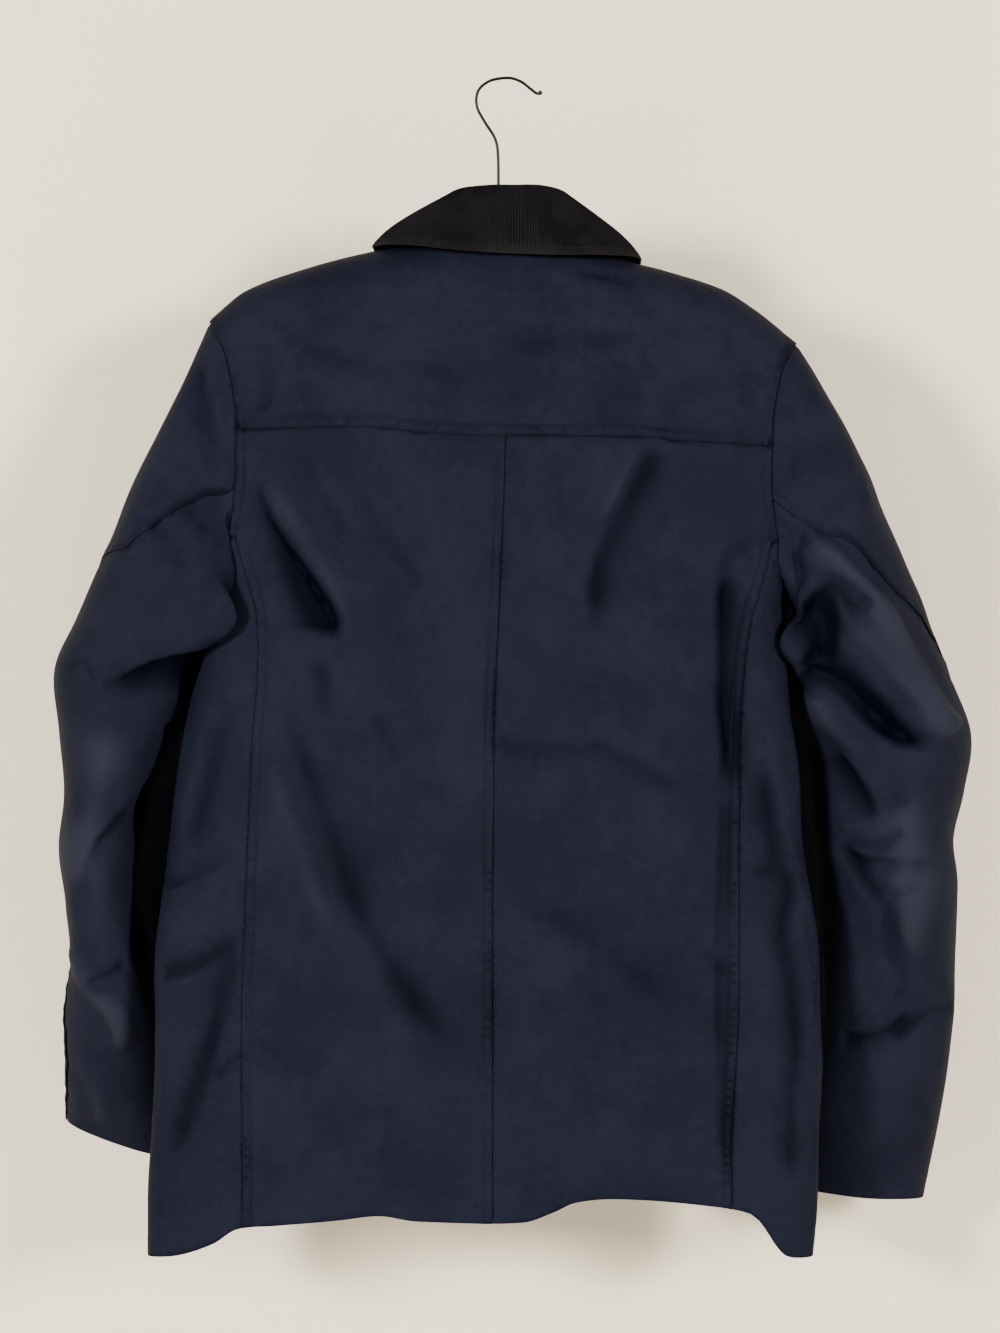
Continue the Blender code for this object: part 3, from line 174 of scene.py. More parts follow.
class SmoothCurve:
    """A smooth function through (place, value) knots, level beyond its ends."""

    def __init__(self, knots: Sequence[tuple[float, float]]) -> None:
        """Keep the knots and the slope at each.

        Args:
            knots: Pairs of a place and its value, in any order.
        """
        self.places, self.values = np.array(sorted(knots), float).T
        before = np.maximum(np.arange(len(self.places)) - 1, 0)
        after = np.minimum(np.arange(len(self.places)) + 1, len(self.places) - 1)
        self.slopes = ((self.values[after] - self.values[before])
                       / (self.places[after] - self.places[before]))

    def __call__(self, place: Array) -> Array:
        """The value at each place.

        Args:
            place: Where to read the curve.

        Returns:
            The values.
        """
        place = np.clip(place, self.places[0], self.places[-1])
        low = np.clip(np.searchsorted(self.places, place) - 1, 0, len(self.places) - 2)
        span = self.places[low + 1] - self.places[low]
        part = (place - self.places[low]) / span
        rise = ease(part)
        return (self.values[low] * (1 - rise) + self.values[low + 1] * rise
                + self.slopes[low] * span * part * (1 - part) ** 2
                - self.slopes[low + 1] * span * part * part * (1 - part))


def column(rows: Sequence[NamedTuple], key: str, name: str) -> SmoothCurve:
    """The smooth function of one named column of a table over another."""
    return SmoothCurve([(getattr(row, key), getattr(row, name)) for row in rows])


def measure_line(points: Array, line: Array) -> tuple[Array, Array, Array]:
    """Measure points against an open line.

    Args:
        points: The points, one in each row.
        line: Points of the line, with as many coordinates.

    Returns:
        Each point's distance from the line, the way along the line to its nearest place, and
        the number of the straight part nearest to it.
    """
    starts, runs = line[:-1], np.diff(line, axis=0)
    lengths = np.linalg.norm(runs, axis=1)
    ways = np.concatenate([[0.0], np.cumsum(lengths)])
    best = np.full(len(points), 1e9)
    along, nearest = np.zeros(len(points)), np.zeros(len(points), int)
    for number, (start, run, length) in enumerate(zip(starts, runs, lengths)):
        part = np.clip((points - start) @ run / max(length * length, 1e-9), 0.0, 1.0)
        distance = np.linalg.norm(points - start - part[:, None] * run, axis=1)
        closer = distance < best
        best[closer] = distance[closer]
        along[closer] = ways[number] + part[closer] * length
        nearest[closer] = number
    return best, along, nearest


def clear_of(points: Array, line: Array, distance: float) -> Array:
    """The points that lie further from a line than a distance."""
    return points[measure_line(points, line)[0] > distance]


@dataclass(frozen=True)
class Fold:
    """One fold, as a line over the front or back of the cloth.

    `line` gives x and z of its places in turn. The cloth is pushed in by `depth` along it, or out
    where that is negative, and comes back over `left` and `right` of the line's own direction.
    `rise` and `fall` are the shares of the line over which it comes and goes. `crisp` is 0 for a
    soft fold and 1 for flat facets that meet in sharp edges. `taper` is the share of its width
    that it has where it starts.
    """

    line: tuple[float, ...]
    left: float
    right: float
    depth: float
    rise: float = 0.3
    fall: float = 0.3
    crisp: float = 0.0
    taper: float = 1.0

    UNEVEN, UNEVEN_WAVE = 0.16, 17.0
    END_SHARE = 0.15
    CRISP_BOTTOM, SOFT_BOTTOM = 0.4, 2.6
    SOFT_POWER, CRISP_POWER = 2.2, 1.15

    def push(self, x: Array, z: Array) -> Array:
        """How far the fold pushes in at each place.

        Args:
            x: Widths of the places.
            z: Their heights.

        Returns:
            The way in, in millimetres.
        """
        line = rounded_line(np.reshape(self.line, (-1, 2)))
        reach = max(self.left, self.right)
        low, high = line.min(axis=0) - reach, line.max(axis=0) + reach
        near = (x > low[0]) & (x < high[0]) & (z > low[1]) & (z < high[1])
        pushed = np.zeros(len(x))
        if not near.any():
            return pushed
        places = rows_of(x[near], z[near])
        distance, along, nearest = measure_line(places, line)
        runs = np.diff(line, axis=0)
        offset = places - line[nearest]
        right = offset[:, 0] * runs[nearest, 1] - offset[:, 1] * runs[nearest, 0] > 0
        share = along / max(np.linalg.norm(runs, axis=1).sum(), 1e-9)
        width = np.where(right, self.right, self.left) * (self.taper + (1 - self.taper) * share)
        bottom = self.CRISP_BOTTOM + self.SOFT_BOTTOM * (1 - self.crisp)
        distance = np.hypot(distance, bottom) - bottom
        power = self.SOFT_POWER - self.CRISP_POWER * self.crisp
        across = np.clip(1 - distance / width, 0.0, 1.0) ** power
        uneven = 1 + self.UNEVEN * np.sin(along / self.UNEVEN_WAVE + self.line[0])
        ends = (ease(share / self.rise + self.END_SHARE)
                * ease((1 - share) / self.fall + self.END_SHARE))
        pushed[near] = self.depth * across * ends * uneven
        return pushed


class FoldField:
    """All folds of one face of the cloth, with the soft waviness between them."""

    COUNT, SHORTEST, LONGEST = 9, 34, 120
    TYPICAL, SHARE = 90, 1.8

    def __init__(self, folds: Sequence[Fold], seed: int, swell: float = 0.6) -> None:
        """Keep the folds and draw the waviness.

        Args:
            folds: The listed folds.
            seed: Fixed seed of the waviness.
            swell: Its height in millimetres.
        """
        self.folds = folds
        draw = np.random.default_rng(seed)
        angle = draw.uniform(0, math.pi, self.COUNT)
        length = draw.uniform(self.SHORTEST, self.LONGEST, self.COUNT)
        self.waves = np.stack([np.cos(angle), np.sin(angle)]) * 2 * math.pi / length
        self.phase = draw.uniform(0, 2 * math.pi, self.COUNT)
        self.height = swell * (length / self.TYPICAL) / self.SHARE

    def push(self, x: Array, z: Array) -> Array:
        """How far the cloth is pushed in at each place.

        Args:
            x: Widths of the places.
            z: Their heights.

        Returns:
            The way in, in millimetres.
        """
        total = (self.height * np.sin(rows_of(x, z) @ self.waves + self.phase)).sum(axis=1)
        for fold in self.folds:
            total = total + fold.push(x, z)
        return total


# ---------------------------------------------------------------- the body's form
class BodyRing(NamedTuple):
    """A level of the body: its edges, and how far its back and front stand off y = 0."""

    z: float
    left: float
    right: float
    back: float
    front: float


class SeamPoint(NamedTuple):
    """A place on the body seen from behind."""

    x: float
    z: float


class NeckPoint(NamedTuple):
    """A place of the neckline: a share of its half width, and the way over the shoulder line."""

    share: float
    over: float


class ArmholeInset(NamedTuple):
    """How far inside the shoulder tip the armhole runs, at a share of its height."""

    fall: float
    inset: float


@dataclass
class BodyForm:
    """The smooth form that the body's pieces hang in."""

    rings: tuple[BodyRing, ...] = table(BodyRing, (
        (-925, -280, 237, 50, 46), (-865, -279, 241, 50, 47), (-819, -276, 242, 51, 48),
        (-741, -274, 243, 52, 49), (-683, -274, 242, 52, 50), (-640, -269, 236, 52, 50),
        (-586, -262, 229, 53, 50), (-523, -254, 224, 54, 51), (-484, -246, 219, 54, 52),
        (-441, -233, 217, 53, 52), (-400, -228, 215, 52, 50), (-380, -227, 216, 51, 48),
        (-330, -232, 222, 49, 44), (-278, -236, 228, 46, 41), (-230, -239, 232, 40, 36),
        (-190, -241, 234, 36, 33), (-140, -241, 234, 34, 31), (-100, -241, 234, 33, 30)))
    shoulder_line: tuple[SeamPoint, ...] = table(SeamPoint, (
        (-232, -190), (-223, -180), (-204, -165), (-161, -149), (-107, -135), (-60, -128),
        (0, -124), (60, -132), (101, -144), (121, -149), (167, -164), (193, -180),
        (212, -195), (225, -207)))
    ring_power: float = 4.0
    typical_half: float = 250.0
    typical_depth: float = 50.0
    ridge_radius: float = 30.0
    fold_fade: float = 22.0

    def __post_init__(self) -> None:
        """Make the curves of the tables and the table of the way round a ring."""
        self.left, self.right, self.back, self.front = (
            column(self.rings, "z", name) for name in BodyRing._fields[1:])
        self.shoulder = column(self.shoulder_line, "x", "z")
        part = np.arange(801) / 400
        angle = math.pi / 4 * np.where(part < 1, part * part, 2 - (2 - part) ** 2)
        self.across_table = np.sin(angle) ** (2 / self.ring_power)
        self.deep_table = np.maximum(np.cos(angle), 0) ** (2 / self.ring_power)
        runs = np.hypot(np.diff(self.across_table) * self.typical_half,
                        np.diff(self.deep_table) * self.typical_depth)
        self.way_table = np.concatenate([[0.0], np.cumsum(runs)])
        self.quarter = float(self.way_table[-1])
        self.half = 2 * self.quarter

    def middle(self, z: Array) -> Array:
        """The middle of a ring from side to side."""
        return (self.left(z) + self.right(z)) / 2

    def reach(self, z: Array) -> Array:
        """Half of a ring's width."""
        return (self.right(z) - self.left(z)) / 2

    def girth_at(self, x: Array, z: Array, face: Face) -> Array:
        """Way round the body, from the centre back, of places on its back or front.

        Args:
            x: Widths of the places.
            z: Their heights.
            face: The face they are on.

        Returns:
            The ways round.
        """
        across = np.clip((x - self.middle(z)) / self.reach(z), -1.0, 1.0)
        way = np.interp(np.abs(across), self.across_table, self.way_table)
        return np.copysign(way if face is Face.BACK else self.half - way, across)

    def over_at(self, x: Array, z: Array, face: Face) -> Array:
        """Way over the shoulder line, from its top, of places on the back or front.

        Args:
            x: Widths of the places.
            z: Their heights.
            face: The face they are on.

        Returns:
            The ways over.
        """
        drop = np.maximum(self.shoulder(x) - z, 0.0)
        bent = self.ridge_radius * np.arccos(np.clip(1 - drop / self.ridge_radius, -1, 1))
        straight = self.ridge_radius * (math.pi / 2 - 1) + drop
        return face.value * np.where(drop < self.ridge_radius, bent, straight)

    def base(self, flat: Array) -> Array:
        """Points of the form at (way round, height).

        Args:
            flat: The flat places.

        Returns:
            The points.
        """
        girth, z = flat[:, 0], flat[:, 1]
        size = np.minimum(np.abs(girth), self.half)
        back = size < self.quarter
        way = np.where(back, size, self.half - size)
        across = np.copysign(np.interp(way, self.way_table, self.across_table), girth)
        deep = np.interp(way, self.way_table, self.deep_table)
        x = self.middle(z) + self.reach(z) * across
        drop = np.clip(self.shoulder(x) - z, 0.0, self.ridge_radius) / self.ridge_radius
        cover = np.sqrt(np.maximum(1 - (1 - drop) ** 2, 0.0))
        return rows_of(x, np.where(back, -self.back(z), self.front(z)) * deep * cover, z)

    def yoke_base(self, flat: Array) -> Array:
        """Points of the form at (x, way over the shoulder line).

        Args:
            flat: The flat places.

        Returns:
            The points.
        """
        x, over = flat[:, 0], flat[:, 1]
        bent = self.ridge_radius * math.pi / 2
        angle = np.minimum(np.abs(over), bent) / self.ridge_radius
        drop = self.ridge_radius * (1 - np.cos(angle)) + np.maximum(0.0, np.abs(over) - bent)
        z = self.shoulder(x) - drop
        across = np.minimum(np.abs(x - self.middle(z)) / self.reach(z), 1.0)
        out = (1 - across ** self.ring_power) ** (1 / self.ring_power) * np.sin(angle)
        return rows_of(x, out * np.where(over > 0, self.front(z), -self.back(z)), z)


def facing(form: Callable[[Array], Array], flat: Array, nudge: float = 0.8) -> Array:
    """Outward directions of a form that runs right-handed over its two flat places.

    Args:
        form: The form.
        flat: The flat places.
        nudge: How far aside of them the form is felt.

    Returns:
        A direction of length 1 for each place.
    """
    along, up = np.array([nudge, 0.0]), np.array([0.0, nudge])
    return unit(np.cross(form(flat + along) - form(flat - along),
                         form(flat + up) - form(flat - up)))


# ---------------------------------------------------------------- seams
class SeamLine:
    """A seam that two pieces share, with the small puckers its stitching draws."""

    MARGIN, FAR = 40, 99.0
    WAVES, SHARES = (1.0, 0.71, 1.9, 4.3), (0.5, 0.25, 0.45, 0.3)

    def __init__(self, points: Array, pucker: float = 0.35, wave: float = 13.0,
                 reach: float = 9.0, seed: int = 1) -> None:
        """Keep the line and draw its puckers.

        Args:
            points: Points along the seam.
            pucker: Height of the puckers.
            wave: Mean distance between two of them.
            reach: How far from the seam they die out.
            seed: Fixed seed of their unevenness.
        """
        self.points = points
        self.pucker, self.reach = pucker, reach
        draw = np.random.default_rng(seed)
        self.rates = 2 * math.pi / (wave * np.array(self.WAVES))
        self.phase = draw.uniform(0, 2 * math.pi, len(self.WAVES))
        self.low, self.high = points.min(axis=0) - self.MARGIN, points.max(axis=0) + self.MARGIN

    def measure(self, points: Array) -> tuple[Array, Array]:
        """Distance of points from the seam and the way along it, far ones being FAR away.

        Args:
            points: The points.

        Returns:
            The distances and the ways along.
        """
        near = ((points > self.low) & (points < self.high)).all(axis=1)
        distance, along = np.full(len(points), self.FAR), np.zeros(len(points))
        if near.any():
            distance[near], along[near], _ = measure_line(points[near], self.points)
        return distance, along

    def puckers(self, points: Array) -> Array:
        """How far the puckers push in at each point.

        Args:
            points: The points.

        Returns:
            The way in, in millimetres.
        """
        distance, along = self.measure(points)
        wave = (np.sin(along[:, None] * self.rates + self.phase) * self.SHARES).sum(axis=1)
        return self.pucker * wave * np.exp(-(distance / self.reach) ** 2)


@dataclass
class Edge:
    """One edge of a piece, its last place being the next edge's first."""

    flat: Array
    role: SeamRole
    seam: SeamLine
    rows: tuple[float, ...] = ()

    def turned(self) -> "Edge":
        """The same edge walked the other way."""
        return Edge(self.flat[::-1], self.role, self.seam, self.rows)


@dataclass
class Pattern:
    """Sizes that every seam of the jacket shares."""

    wall: float = 1.2
    gap: float = 0.15
    under: float = 3.0
    under_drop: float = 1.1
    lap_rise: float = 0.75
    lap_fade: float = 2.4
    dip: float = 0.9
    dip_fade: float = 4.0
    groove: float = 0.28
    groove_width: float = 1.1
    # Painted shade in the stitch grooves and in a thin line along each seam's edge, added to the
    # fold depth that the cloth's finish darkens.
    groove_dark: float = 3.8
    edge_dark: float = 6.5
    edge_width: float = 0.8
    stitch_lift: float = 0.12
    corner: float = 0.25
    squeeze: float = 0.45
    stretch: float = 1.6
    clear: float = 1.2
    clear_outline: float = 0.9
    clear_stitches: float = 2.0
    near_share: float = 0.8
    net_outline: float = 0.55
    net_guide: float = 0.5
    full_area: float = 0.999


PATTERN = Pattern()


def inside(places: Array, outline: Array) -> Array:
    """Whether flat places lie inside a closed outline.

    Args:
        places: The flat places.
        outline: The outline.

    Returns:
        A mark for each place.
    """
    within = np.zeros(len(places), bool)
    for (ax, ay), (bx, by) in zip(outline, np.roll(outline, -1, axis=0)):
        if ay == by:
            continue
        spans = (ay > places[:, 1]) != (by > places[:, 1])
        cross = ax + (places[:, 1] - ay) / (by - ay) * (bx - ax)
        within ^= spans & (places[:, 0] < cross)
    return within


def flat_area(outline: Array) -> float:
    """Signed area of a closed outline."""
    after = np.roll(outline, -1, axis=0)
    return float((outline[:, 0] * after[:, 1] - after[:, 0] * outline[:, 1]).sum() / 2)


class ClothPiece:
    """One piece of cloth, from its flat cut to its sewn shape."""

    def __init__(self, name: str, edges: Sequence[Edge], form: Callable[[Array], Array],
                 folds: Callable[[Array, Array], Array], net: float,
                 puckered: Sequence[SeamLine] = (), wall: float = PATTERN.wall,
                 raised: float = 0.0, hand: float = 1.0) -> None:
        """Keep what the piece is cut and laid by.

        Args:
            name: The CAD node that the piece stands for.
            edges: Its edges in order round it.
            form: What a flat place becomes on the smooth form.
            folds: How far the cloth is pushed in at flat places and their points of the form.
            net: Spacing of its net of points.
            puckered: Seams whose puckers reach into it.
            wall: Its thickness.
            raised: How far it lies off the form, for a piece on another one.
            hand: -1 where the form runs left-handed, so that its outer side is the other one.
        """
        self.name, self.form, self.folds, self.net = name, form, folds, net
        self.puckered, self.wall, self.raised, self.hand = puckered, wall, raised, hand
        self.edges = list(edges)
        if flat_area(self._seam_outline()) < 0:
            self.edges = [edge.turned() for edge in edges[::-1]]
        self.seam_outline = self._seam_outline()
        self.outline, self.beyond = self._cut_outline()

    def _seam_outline(self) -> Array:
        """The seams round the piece as one closed outline."""
        return np.vstack([edge.flat[:-1] for edge in self.edges])

    def _cut_outline(self) -> tuple[Array, Array]:
        """The outline moved to the cut edge, and how far each place lies beyond its seam.

        Returns:
            The outline and the ways beyond the seam.
        """
        moves = {SeamRole.UNDER: PATTERN.under, SeamRole.LAP: -PATTERN.gap, SeamRole.EDGE: 0.0}
        second_move = np.concatenate([np.full(len(edge.flat) - 1, moves[edge.role])
                                      for edge in self.edges])
        first_move = np.roll(second_move, 1)
        line = self.seam_outline
        run = unit(np.roll(line, -1, axis=0) - line)
        second = rows_of(run[:, 1], -run[:, 0])
        first = np.roll(second, 1, axis=0)
        cross = first[:, 0] * second[:, 1] - first[:, 1] * second[:, 0]
        moved = (first * first_move[:, None] + second * second_move[:, None]) / 2
        for i in np.flatnonzero(np.abs(cross) > PATTERN.corner):
            moved[i] = np.linalg.solve(np.stack([first[i], second[i]]),
                                       [first_move[i], second_move[i]])
        scale = self._local_scale(line, unit(first + second))
        return line + moved / scale[:, None], np.maximum(np.maximum(first_move, second_move), 0.0)

    def _local_scale(self, flat: Array, direction: Array) -> Array:
        """Millimetres on the form for each flat one, along flat directions."""
        run = self.form(flat + direction) - self.form(flat - direction)
        return np.clip(np.linalg.norm(run, axis=1) / 2, PATTERN.squeeze, PATTERN.stretch)

    def rows_inside(self, edge: Edge, distance: float, clear: float) -> list[Array]:
        """Flat lines beside an edge.

        Args:
            edge: The edge.
            distance: How far inside it, measured on the form.
            clear: How far the line stays from the piece's other edges.

        Returns:
            The stretches of the line that lie well inside the piece.
        """
        run = np.gradient(edge.flat, axis=0)
        inward = unit(rows_of(-run[:, 1], run[:, 0]))
        scale = self._local_scale(edge.flat, inward)
        line = edge.flat + inward * (distance / scale)[:, None]
        good = inside(line, self.seam_outline) if distance > 0 else np.ones(len(line), bool)
        good &= measure_line(line, edge.flat)[0] > PATTERN.near_share * distance / scale
        for other in self.edges:
            if other is not edge:
                good &= measure_line(line, other.flat)[0] > clear
        cuts = np.flatnonzero(np.diff(good.astype(int))) + 1
        stretches = zip(np.split(line, cuts), np.split(good, cuts))
        return [stretch for stretch, kept in stretches if kept[0] and len(stretch) > 2]

    def surface(self, flat: Array, beyond: Union[Array, float] = 0.0) -> tuple[Array, ...]:
        """The outer surface at flat places.

        Args:
            flat: The places.
            beyond: How far each lies beyond its seam, under the neighbour.

        Returns:
            Points, the directions they face, how far each is from the nearest lapped seam, and how
            deep it lies in a fold with painted shade added along seam edges and in stitch grooves.
        """
        base = self.form(flat)
        normal = facing(self.form, flat) * self.hand
        # the fold depth, which the finish paints as shade where the cloth lies deep and as
        # highlight where it stands out
        crease = self.folds(flat, base)
        push = crease - self.raised
        for seam in self.puckered:
            push = push + seam.puckers(base)
        seam_distance = np.full(len(flat), SeamLine.FAR)
        for edge in self.edges:
            distance, _ = edge.seam.measure(base)
            # painted shade along the seam's edge
            crease = crease + PATTERN.edge_dark * np.exp(-(distance / PATTERN.edge_width) ** 2)
            if edge.role is SeamRole.LAP:
                strip = max(edge.rows, default=0.0)
                push = push - PATTERN.lap_rise * (1 - ease((distance - strip) / PATTERN.lap_fade))
                seam_distance = np.minimum(seam_distance, distance)
            elif edge.role is SeamRole.UNDER:
                push = push + PATTERN.dip * (1 - ease(distance / PATTERN.dip_fade))
            for row in edge.rows:
                groove = np.exp(-((distance - row) / PATTERN.groove_width) ** 2)
                push = push + PATTERN.groove * groove
                # painted shade in the stitch groove
                crease = crease + PATTERN.groove_dark * groove
        beyond = np.asarray(beyond)
        push = push + PATTERN.under_drop * ease(beyond / PATTERN.under) * (beyond > 0)
        return base - normal * push[:, None], normal, seam_distance, crease

    def net_places(self) -> tuple[Array, int]:
        """All flat places of the cut, the outline first, and how many are on the outline.

        Returns:
            The places and the number.
        """
        guides = []
        for edge in self.edges:
            distances = (0.0, PATTERN.dip_fade)
            if edge.role is not SeamRole.UNDER:
                fades = (0.0, PATTERN.lap_fade)
                distances = [row + fade for row in edge.rows[-1:] for fade in fades]
            for distance in distances:
                guides += self.rows_inside(edge, distance, PATTERN.clear)
        closed = np.vstack([self.outline, self.outline[:1]])
        kept: list[Array] = []
        for guide in guides:
            guide = clear_of(guide, closed, PATTERN.clear_outline)
            for other in kept:
                guide = clear_of(guide, other, PATTERN.clear)
            if len(guide):
                kept.append(guide)
        low, high = self.outline.min(axis=0), self.outline.max(axis=0)
        rise = self.net * math.sqrt(3) / 2
        rows = np.arange(math.floor(low[1] / rise), math.ceil(high[1] / rise) + 1.0)
        columns = np.arange(math.floor(low[0] / self.net) - 1, math.ceil(high[0] / self.net) + 1.0)
        across, up = np.meshgrid(columns, rows)
        grid = rows_of((across + (up % 2) / 2) * self.net, up * rise).reshape(-1, 2)
        grid = clear_of(grid[inside(grid, self.outline)], closed,
                        PATTERN.net_outline * self.net)
        for guide in kept:
            grid = clear_of(grid, guide, PATTERN.net_guide * self.net)
        return np.vstack([self.outline, *kept, grid]), len(self.outline)

    def make(self, material: Material) -> Object:
        """Cut, lay and thicken the piece.

        Args:
            material: Its finish.

        Returns:
            The object, with its flat cut as UV map and its distance from seams and its fold depth
            with painted shade as attributes.
        """
        places, border = self.net_places()
        edges = [(i, (i + 1) % border) for i in range(border)]
        found, _, faces, origins, _, _ = delaunay_2d_cdt(
            places.tolist(), edges, [list(range(border))], 1, 1e-5)
        flat = np.array([tuple(place) for place in found])
        beyond = np.zeros(len(flat))
        for index, origin in enumerate(origins):
            for source in origin:
                if source < border:
                    beyond[index] = self.beyond[source]
        outer, normal, seam, crease = self.surface(flat, beyond)
        faces = np.array([tuple(face) for face in faces])
        corners = outer[faces]
        turn = np.cross(corners[:, 1] - corners[:, 0], corners[:, 2] - corners[:, 0])
        if (turn * normal[faces[:, 0]]).sum() < 0:
            faces = faces[:, ::-1]
        self.cloth_area = float(np.linalg.norm(turn, axis=1).sum() / 2)
        return closed_cloth(self.name, outer, outer - normal * self.wall, faces, flat,
                            {"seam": seam, "crease": crease}, material)

    def stitch_lines(self) -> list[Array]:
        """Rows of stitching on the piece, as lines just above its surface.

        Returns:
            The lines.
        """
        lines = []
        for edge in self.edges:
            for row in edge.rows:
                for stretch in self.rows_inside(edge, row, PATTERN.clear_stitches):
                    points, normal = self.surface(stretch)[:2]
                    lines.append(points + normal * PATTERN.stitch_lift)
        return lines

    def flat_size(self) -> tuple[float, float, float]:
        """Width, length and area of the cut in metres.

        Returns:
            The width, length and area.
        """
        size = np.ptp(self.outline, axis=0)
        share = self.cloth_area / abs(flat_area(self.outline))
        area = min(self.cloth_area, float(size[0] * share * size[1]) * PATTERN.full_area)
        return float(size[0] * share * MM), float(size[1] * MM), area * MM * MM


def placed(name: str, data: bpy.types.ID) -> Object:
    """A new object in the scene.

    Args:
        name: Its name.
        data: Its mesh, lamp or camera.

    Returns:
        The object.
    """
    thing = bpy.data.objects.new(name, data)
    bpy.context.scene.collection.objects.link(thing)
    return thing


def smoothed(name: str, points: Array, faces: Sequence, degrees: float,
             material: Material) -> Object:
    """A mesh with smooth faces, sharp where they meet at more than an angle.

    Args:
        name: Its name.
        points: Its points in millimetres.
        faces: Its faces.
        degrees: The angle.
        material: Its finish.

    Returns:
        The object.
    """
    mesh = bpy.data.meshes.new(name)
    mesh.from_pydata((points * MM).tolist(), [], faces)
    mesh.validate()
    mesh.shade_smooth()
    mesh.set_sharp_from_angle(angle=math.radians(degrees))
    mesh.materials.append(material)
    return placed(name, mesh)


def closed_cloth(name: str, outer: Array, inner: Array, faces: Array, flat: Array,
                 measures: dict[str, Array], material: Material) -> Object:
    """A closed shell of cloth from its two sides.

    Args:
        name: The CAD node that it stands for.
        outer: Points of the outer side.
        inner: Points of the inner side, in the same order.
        faces: Triangles of the outer side, facing outwards.
        flat: Flat places of the points.
        measures: What the finish reads at each outer point, such as its distance from a seam.
        material: Its finish.

    Returns:
        The object, linked to the scene.
    """
    count = len(outer)
    sides = np.vstack([faces[:, [0, 1]], faces[:, [1, 2]], faces[:, [2, 0]]])
    keys = set(map(tuple, sides.tolist()))
    rim = np.array([(a, b) for a, b in sides.tolist() if (b, a) not in keys])
    polygons = faces.tolist() + (faces[:, ::-1] + count).tolist()
    polygons += [(b, a, a + count, b + count) for a, b in rim.tolist()]
    piece = smoothed(f"cloth_{name}", np.vstack([outer, inner]), polygons, 70, material)
    mesh = piece.data
    layer = mesh.uv_layers.new(name="cut")
    corner = np.empty(len(mesh.loops), int)
    mesh.loops.foreach_get("vertex_index", corner)
    layer.data.foreach_set("uv", (np.vstack([flat, flat])[corner] * MM).ravel())
    for measure, values in measures.items():
        attribute = mesh.attributes.new(measure, "FLOAT", "POINT")
        attribute.data.foreach_set("value", np.concatenate([values, values]))
    return piece


# ---------------------------------------------------------------- the trunk
BACK_FOLDS = table(Fold, (
    ((-200, -308, -187, -337, -169, -367, -149, -397, -135, -421, -135, -438), 9, 42, 13, 0.6,
     0.14, 0.55, 0.3),
    ((-188, -308, -159, -354, -132, -400, -121, -438), 16, 14, -2.6, 0.4, 0.4),
    ((-144, -450, -136, -499), 9, 14, 3.9, 0.3, 0.4),
    ((-161, -284, -145, -320, -117, -367), 8, 16, 3.2),
    ((-121, -308, -87, -365, -52, -415), 12, 20, 2.3),
    ((-171, -476, -162, -512, -150, -546, -136, -589, -118, -636, -99, -670, -74, -712, -31, -759),
     32, 20, 6, 0.3, 0.2, 0.35),
    ((-190, -499, -174, -560, -151, -621, -125, -683), 18, 18, -2.1),
    ((-106, -476, -93, -512, -74, -541, -51, -553, -22, -574), 18, 9, 3.1, 0.3, 0.3, 0.4),
    ((-193, -741, -177, -753, -162, -769), 5, 4, 2.9, 0.2, 0.3, 1),
    ((-219, -178, -205, -220, -197, -262), 36, 36, -2.1),
    ((160, -218, 139, -234, 123, -265, 115, -279), 16, 10, 3, 0.35, 0.1, 0.5),
    ((119, -284, 103, -312, 88, -343, 70, -382, 66, -437), 28, 12, 6.5, 0.15, 0.3, 0.4),
    ((103, -283, 87, -316, 70, -350), 12, 12, -2.6),
    ((193, -362, 180, -366, 170, -374, 166, -388), 9, 10, 4.2, 0.2, 0.3, 0.5),
    ((170, -377, 167, -407, 167, -446, 167, -484, 170, -522, 167, -560), 24, 10, 10, 0.2, 0.25,
     0.6),
    ((167, -553, 165, -621, 163, -683, 165, -790, 167, -851), 12, 6, 5.2, 0.1, 0.2, 0.6),
    ((-12, -510, 7, -520, 50, -522, 69, -520, 92, -531, 121, -546, 154, -560), 9, 24, 4.2, 0.1,
     0.3, 0.4),
    ((-7, -636, 36, -651, 73, -674, 102, -698, 135, -717), 26, 26, 3.4, 0.2, 0.3, 0.1),
    ((7, -707, 55, -712, 85, -722), 12, 14, 2.3),
    ((150, -679, 170, -696), 5, 6, 2.6, 0.3, 0.3, 0.8),
    ((-192, -179, -159, -205, -121, -222, -83, -226), 18, 16, 2.9),
    ((-190, -199, -184, -226, -188, -261), 9, 10, 3.6, 0.3, 0.1, 0.4),
    ((-156, -234, -152, -264), 6, 6, 2.6, 0.3, 0.1, 0.5),
    ((-98, -218, -60, -227, -31, -232), 8, 10, 2.3),
    ((-6, -209, 17, -206, 64, -203, 111, -200), 12, 16, 3.9),
    ((49, -151, 78, -157, 103, -163), 7, 8, 2.6),
    ((186, -218, 182, -261), 8, 10, 3.4),
    ((-216, -484, -231, -541, -248, -599), 24, 12, 4.7, 0.2, 0.2, 0.3),
    ((-268, -628, -231, -612, -203, -596), 16, 6, 3.9, 0.1, 0.3, 0.6),
    ((-269, -696, -245, -689, -216, -674, -203, -660), 18, 6, 5.2, 0.05, 0.3, 0.8),
    ((-210, -671, -226, -736, -242, -786, -264, -839), 18, 20, 6.5, 0.1, 0.2, 0.4),
    ((-226, -774, -203, -755), 8, 5, 3.4, 0.2, 0.2, 0.8),
    ((194, -514, 205, -579, 212, -612, 221, -627, 214, -664, 221, -698, 226, -750, 221, -788, 221,
     -858), 11, 26, 6, 0.15, 0.1, 0.5),
    ((186, -618, 209, -612), 8, 6, 3.1, 0.3, 0.3, 0.6),))
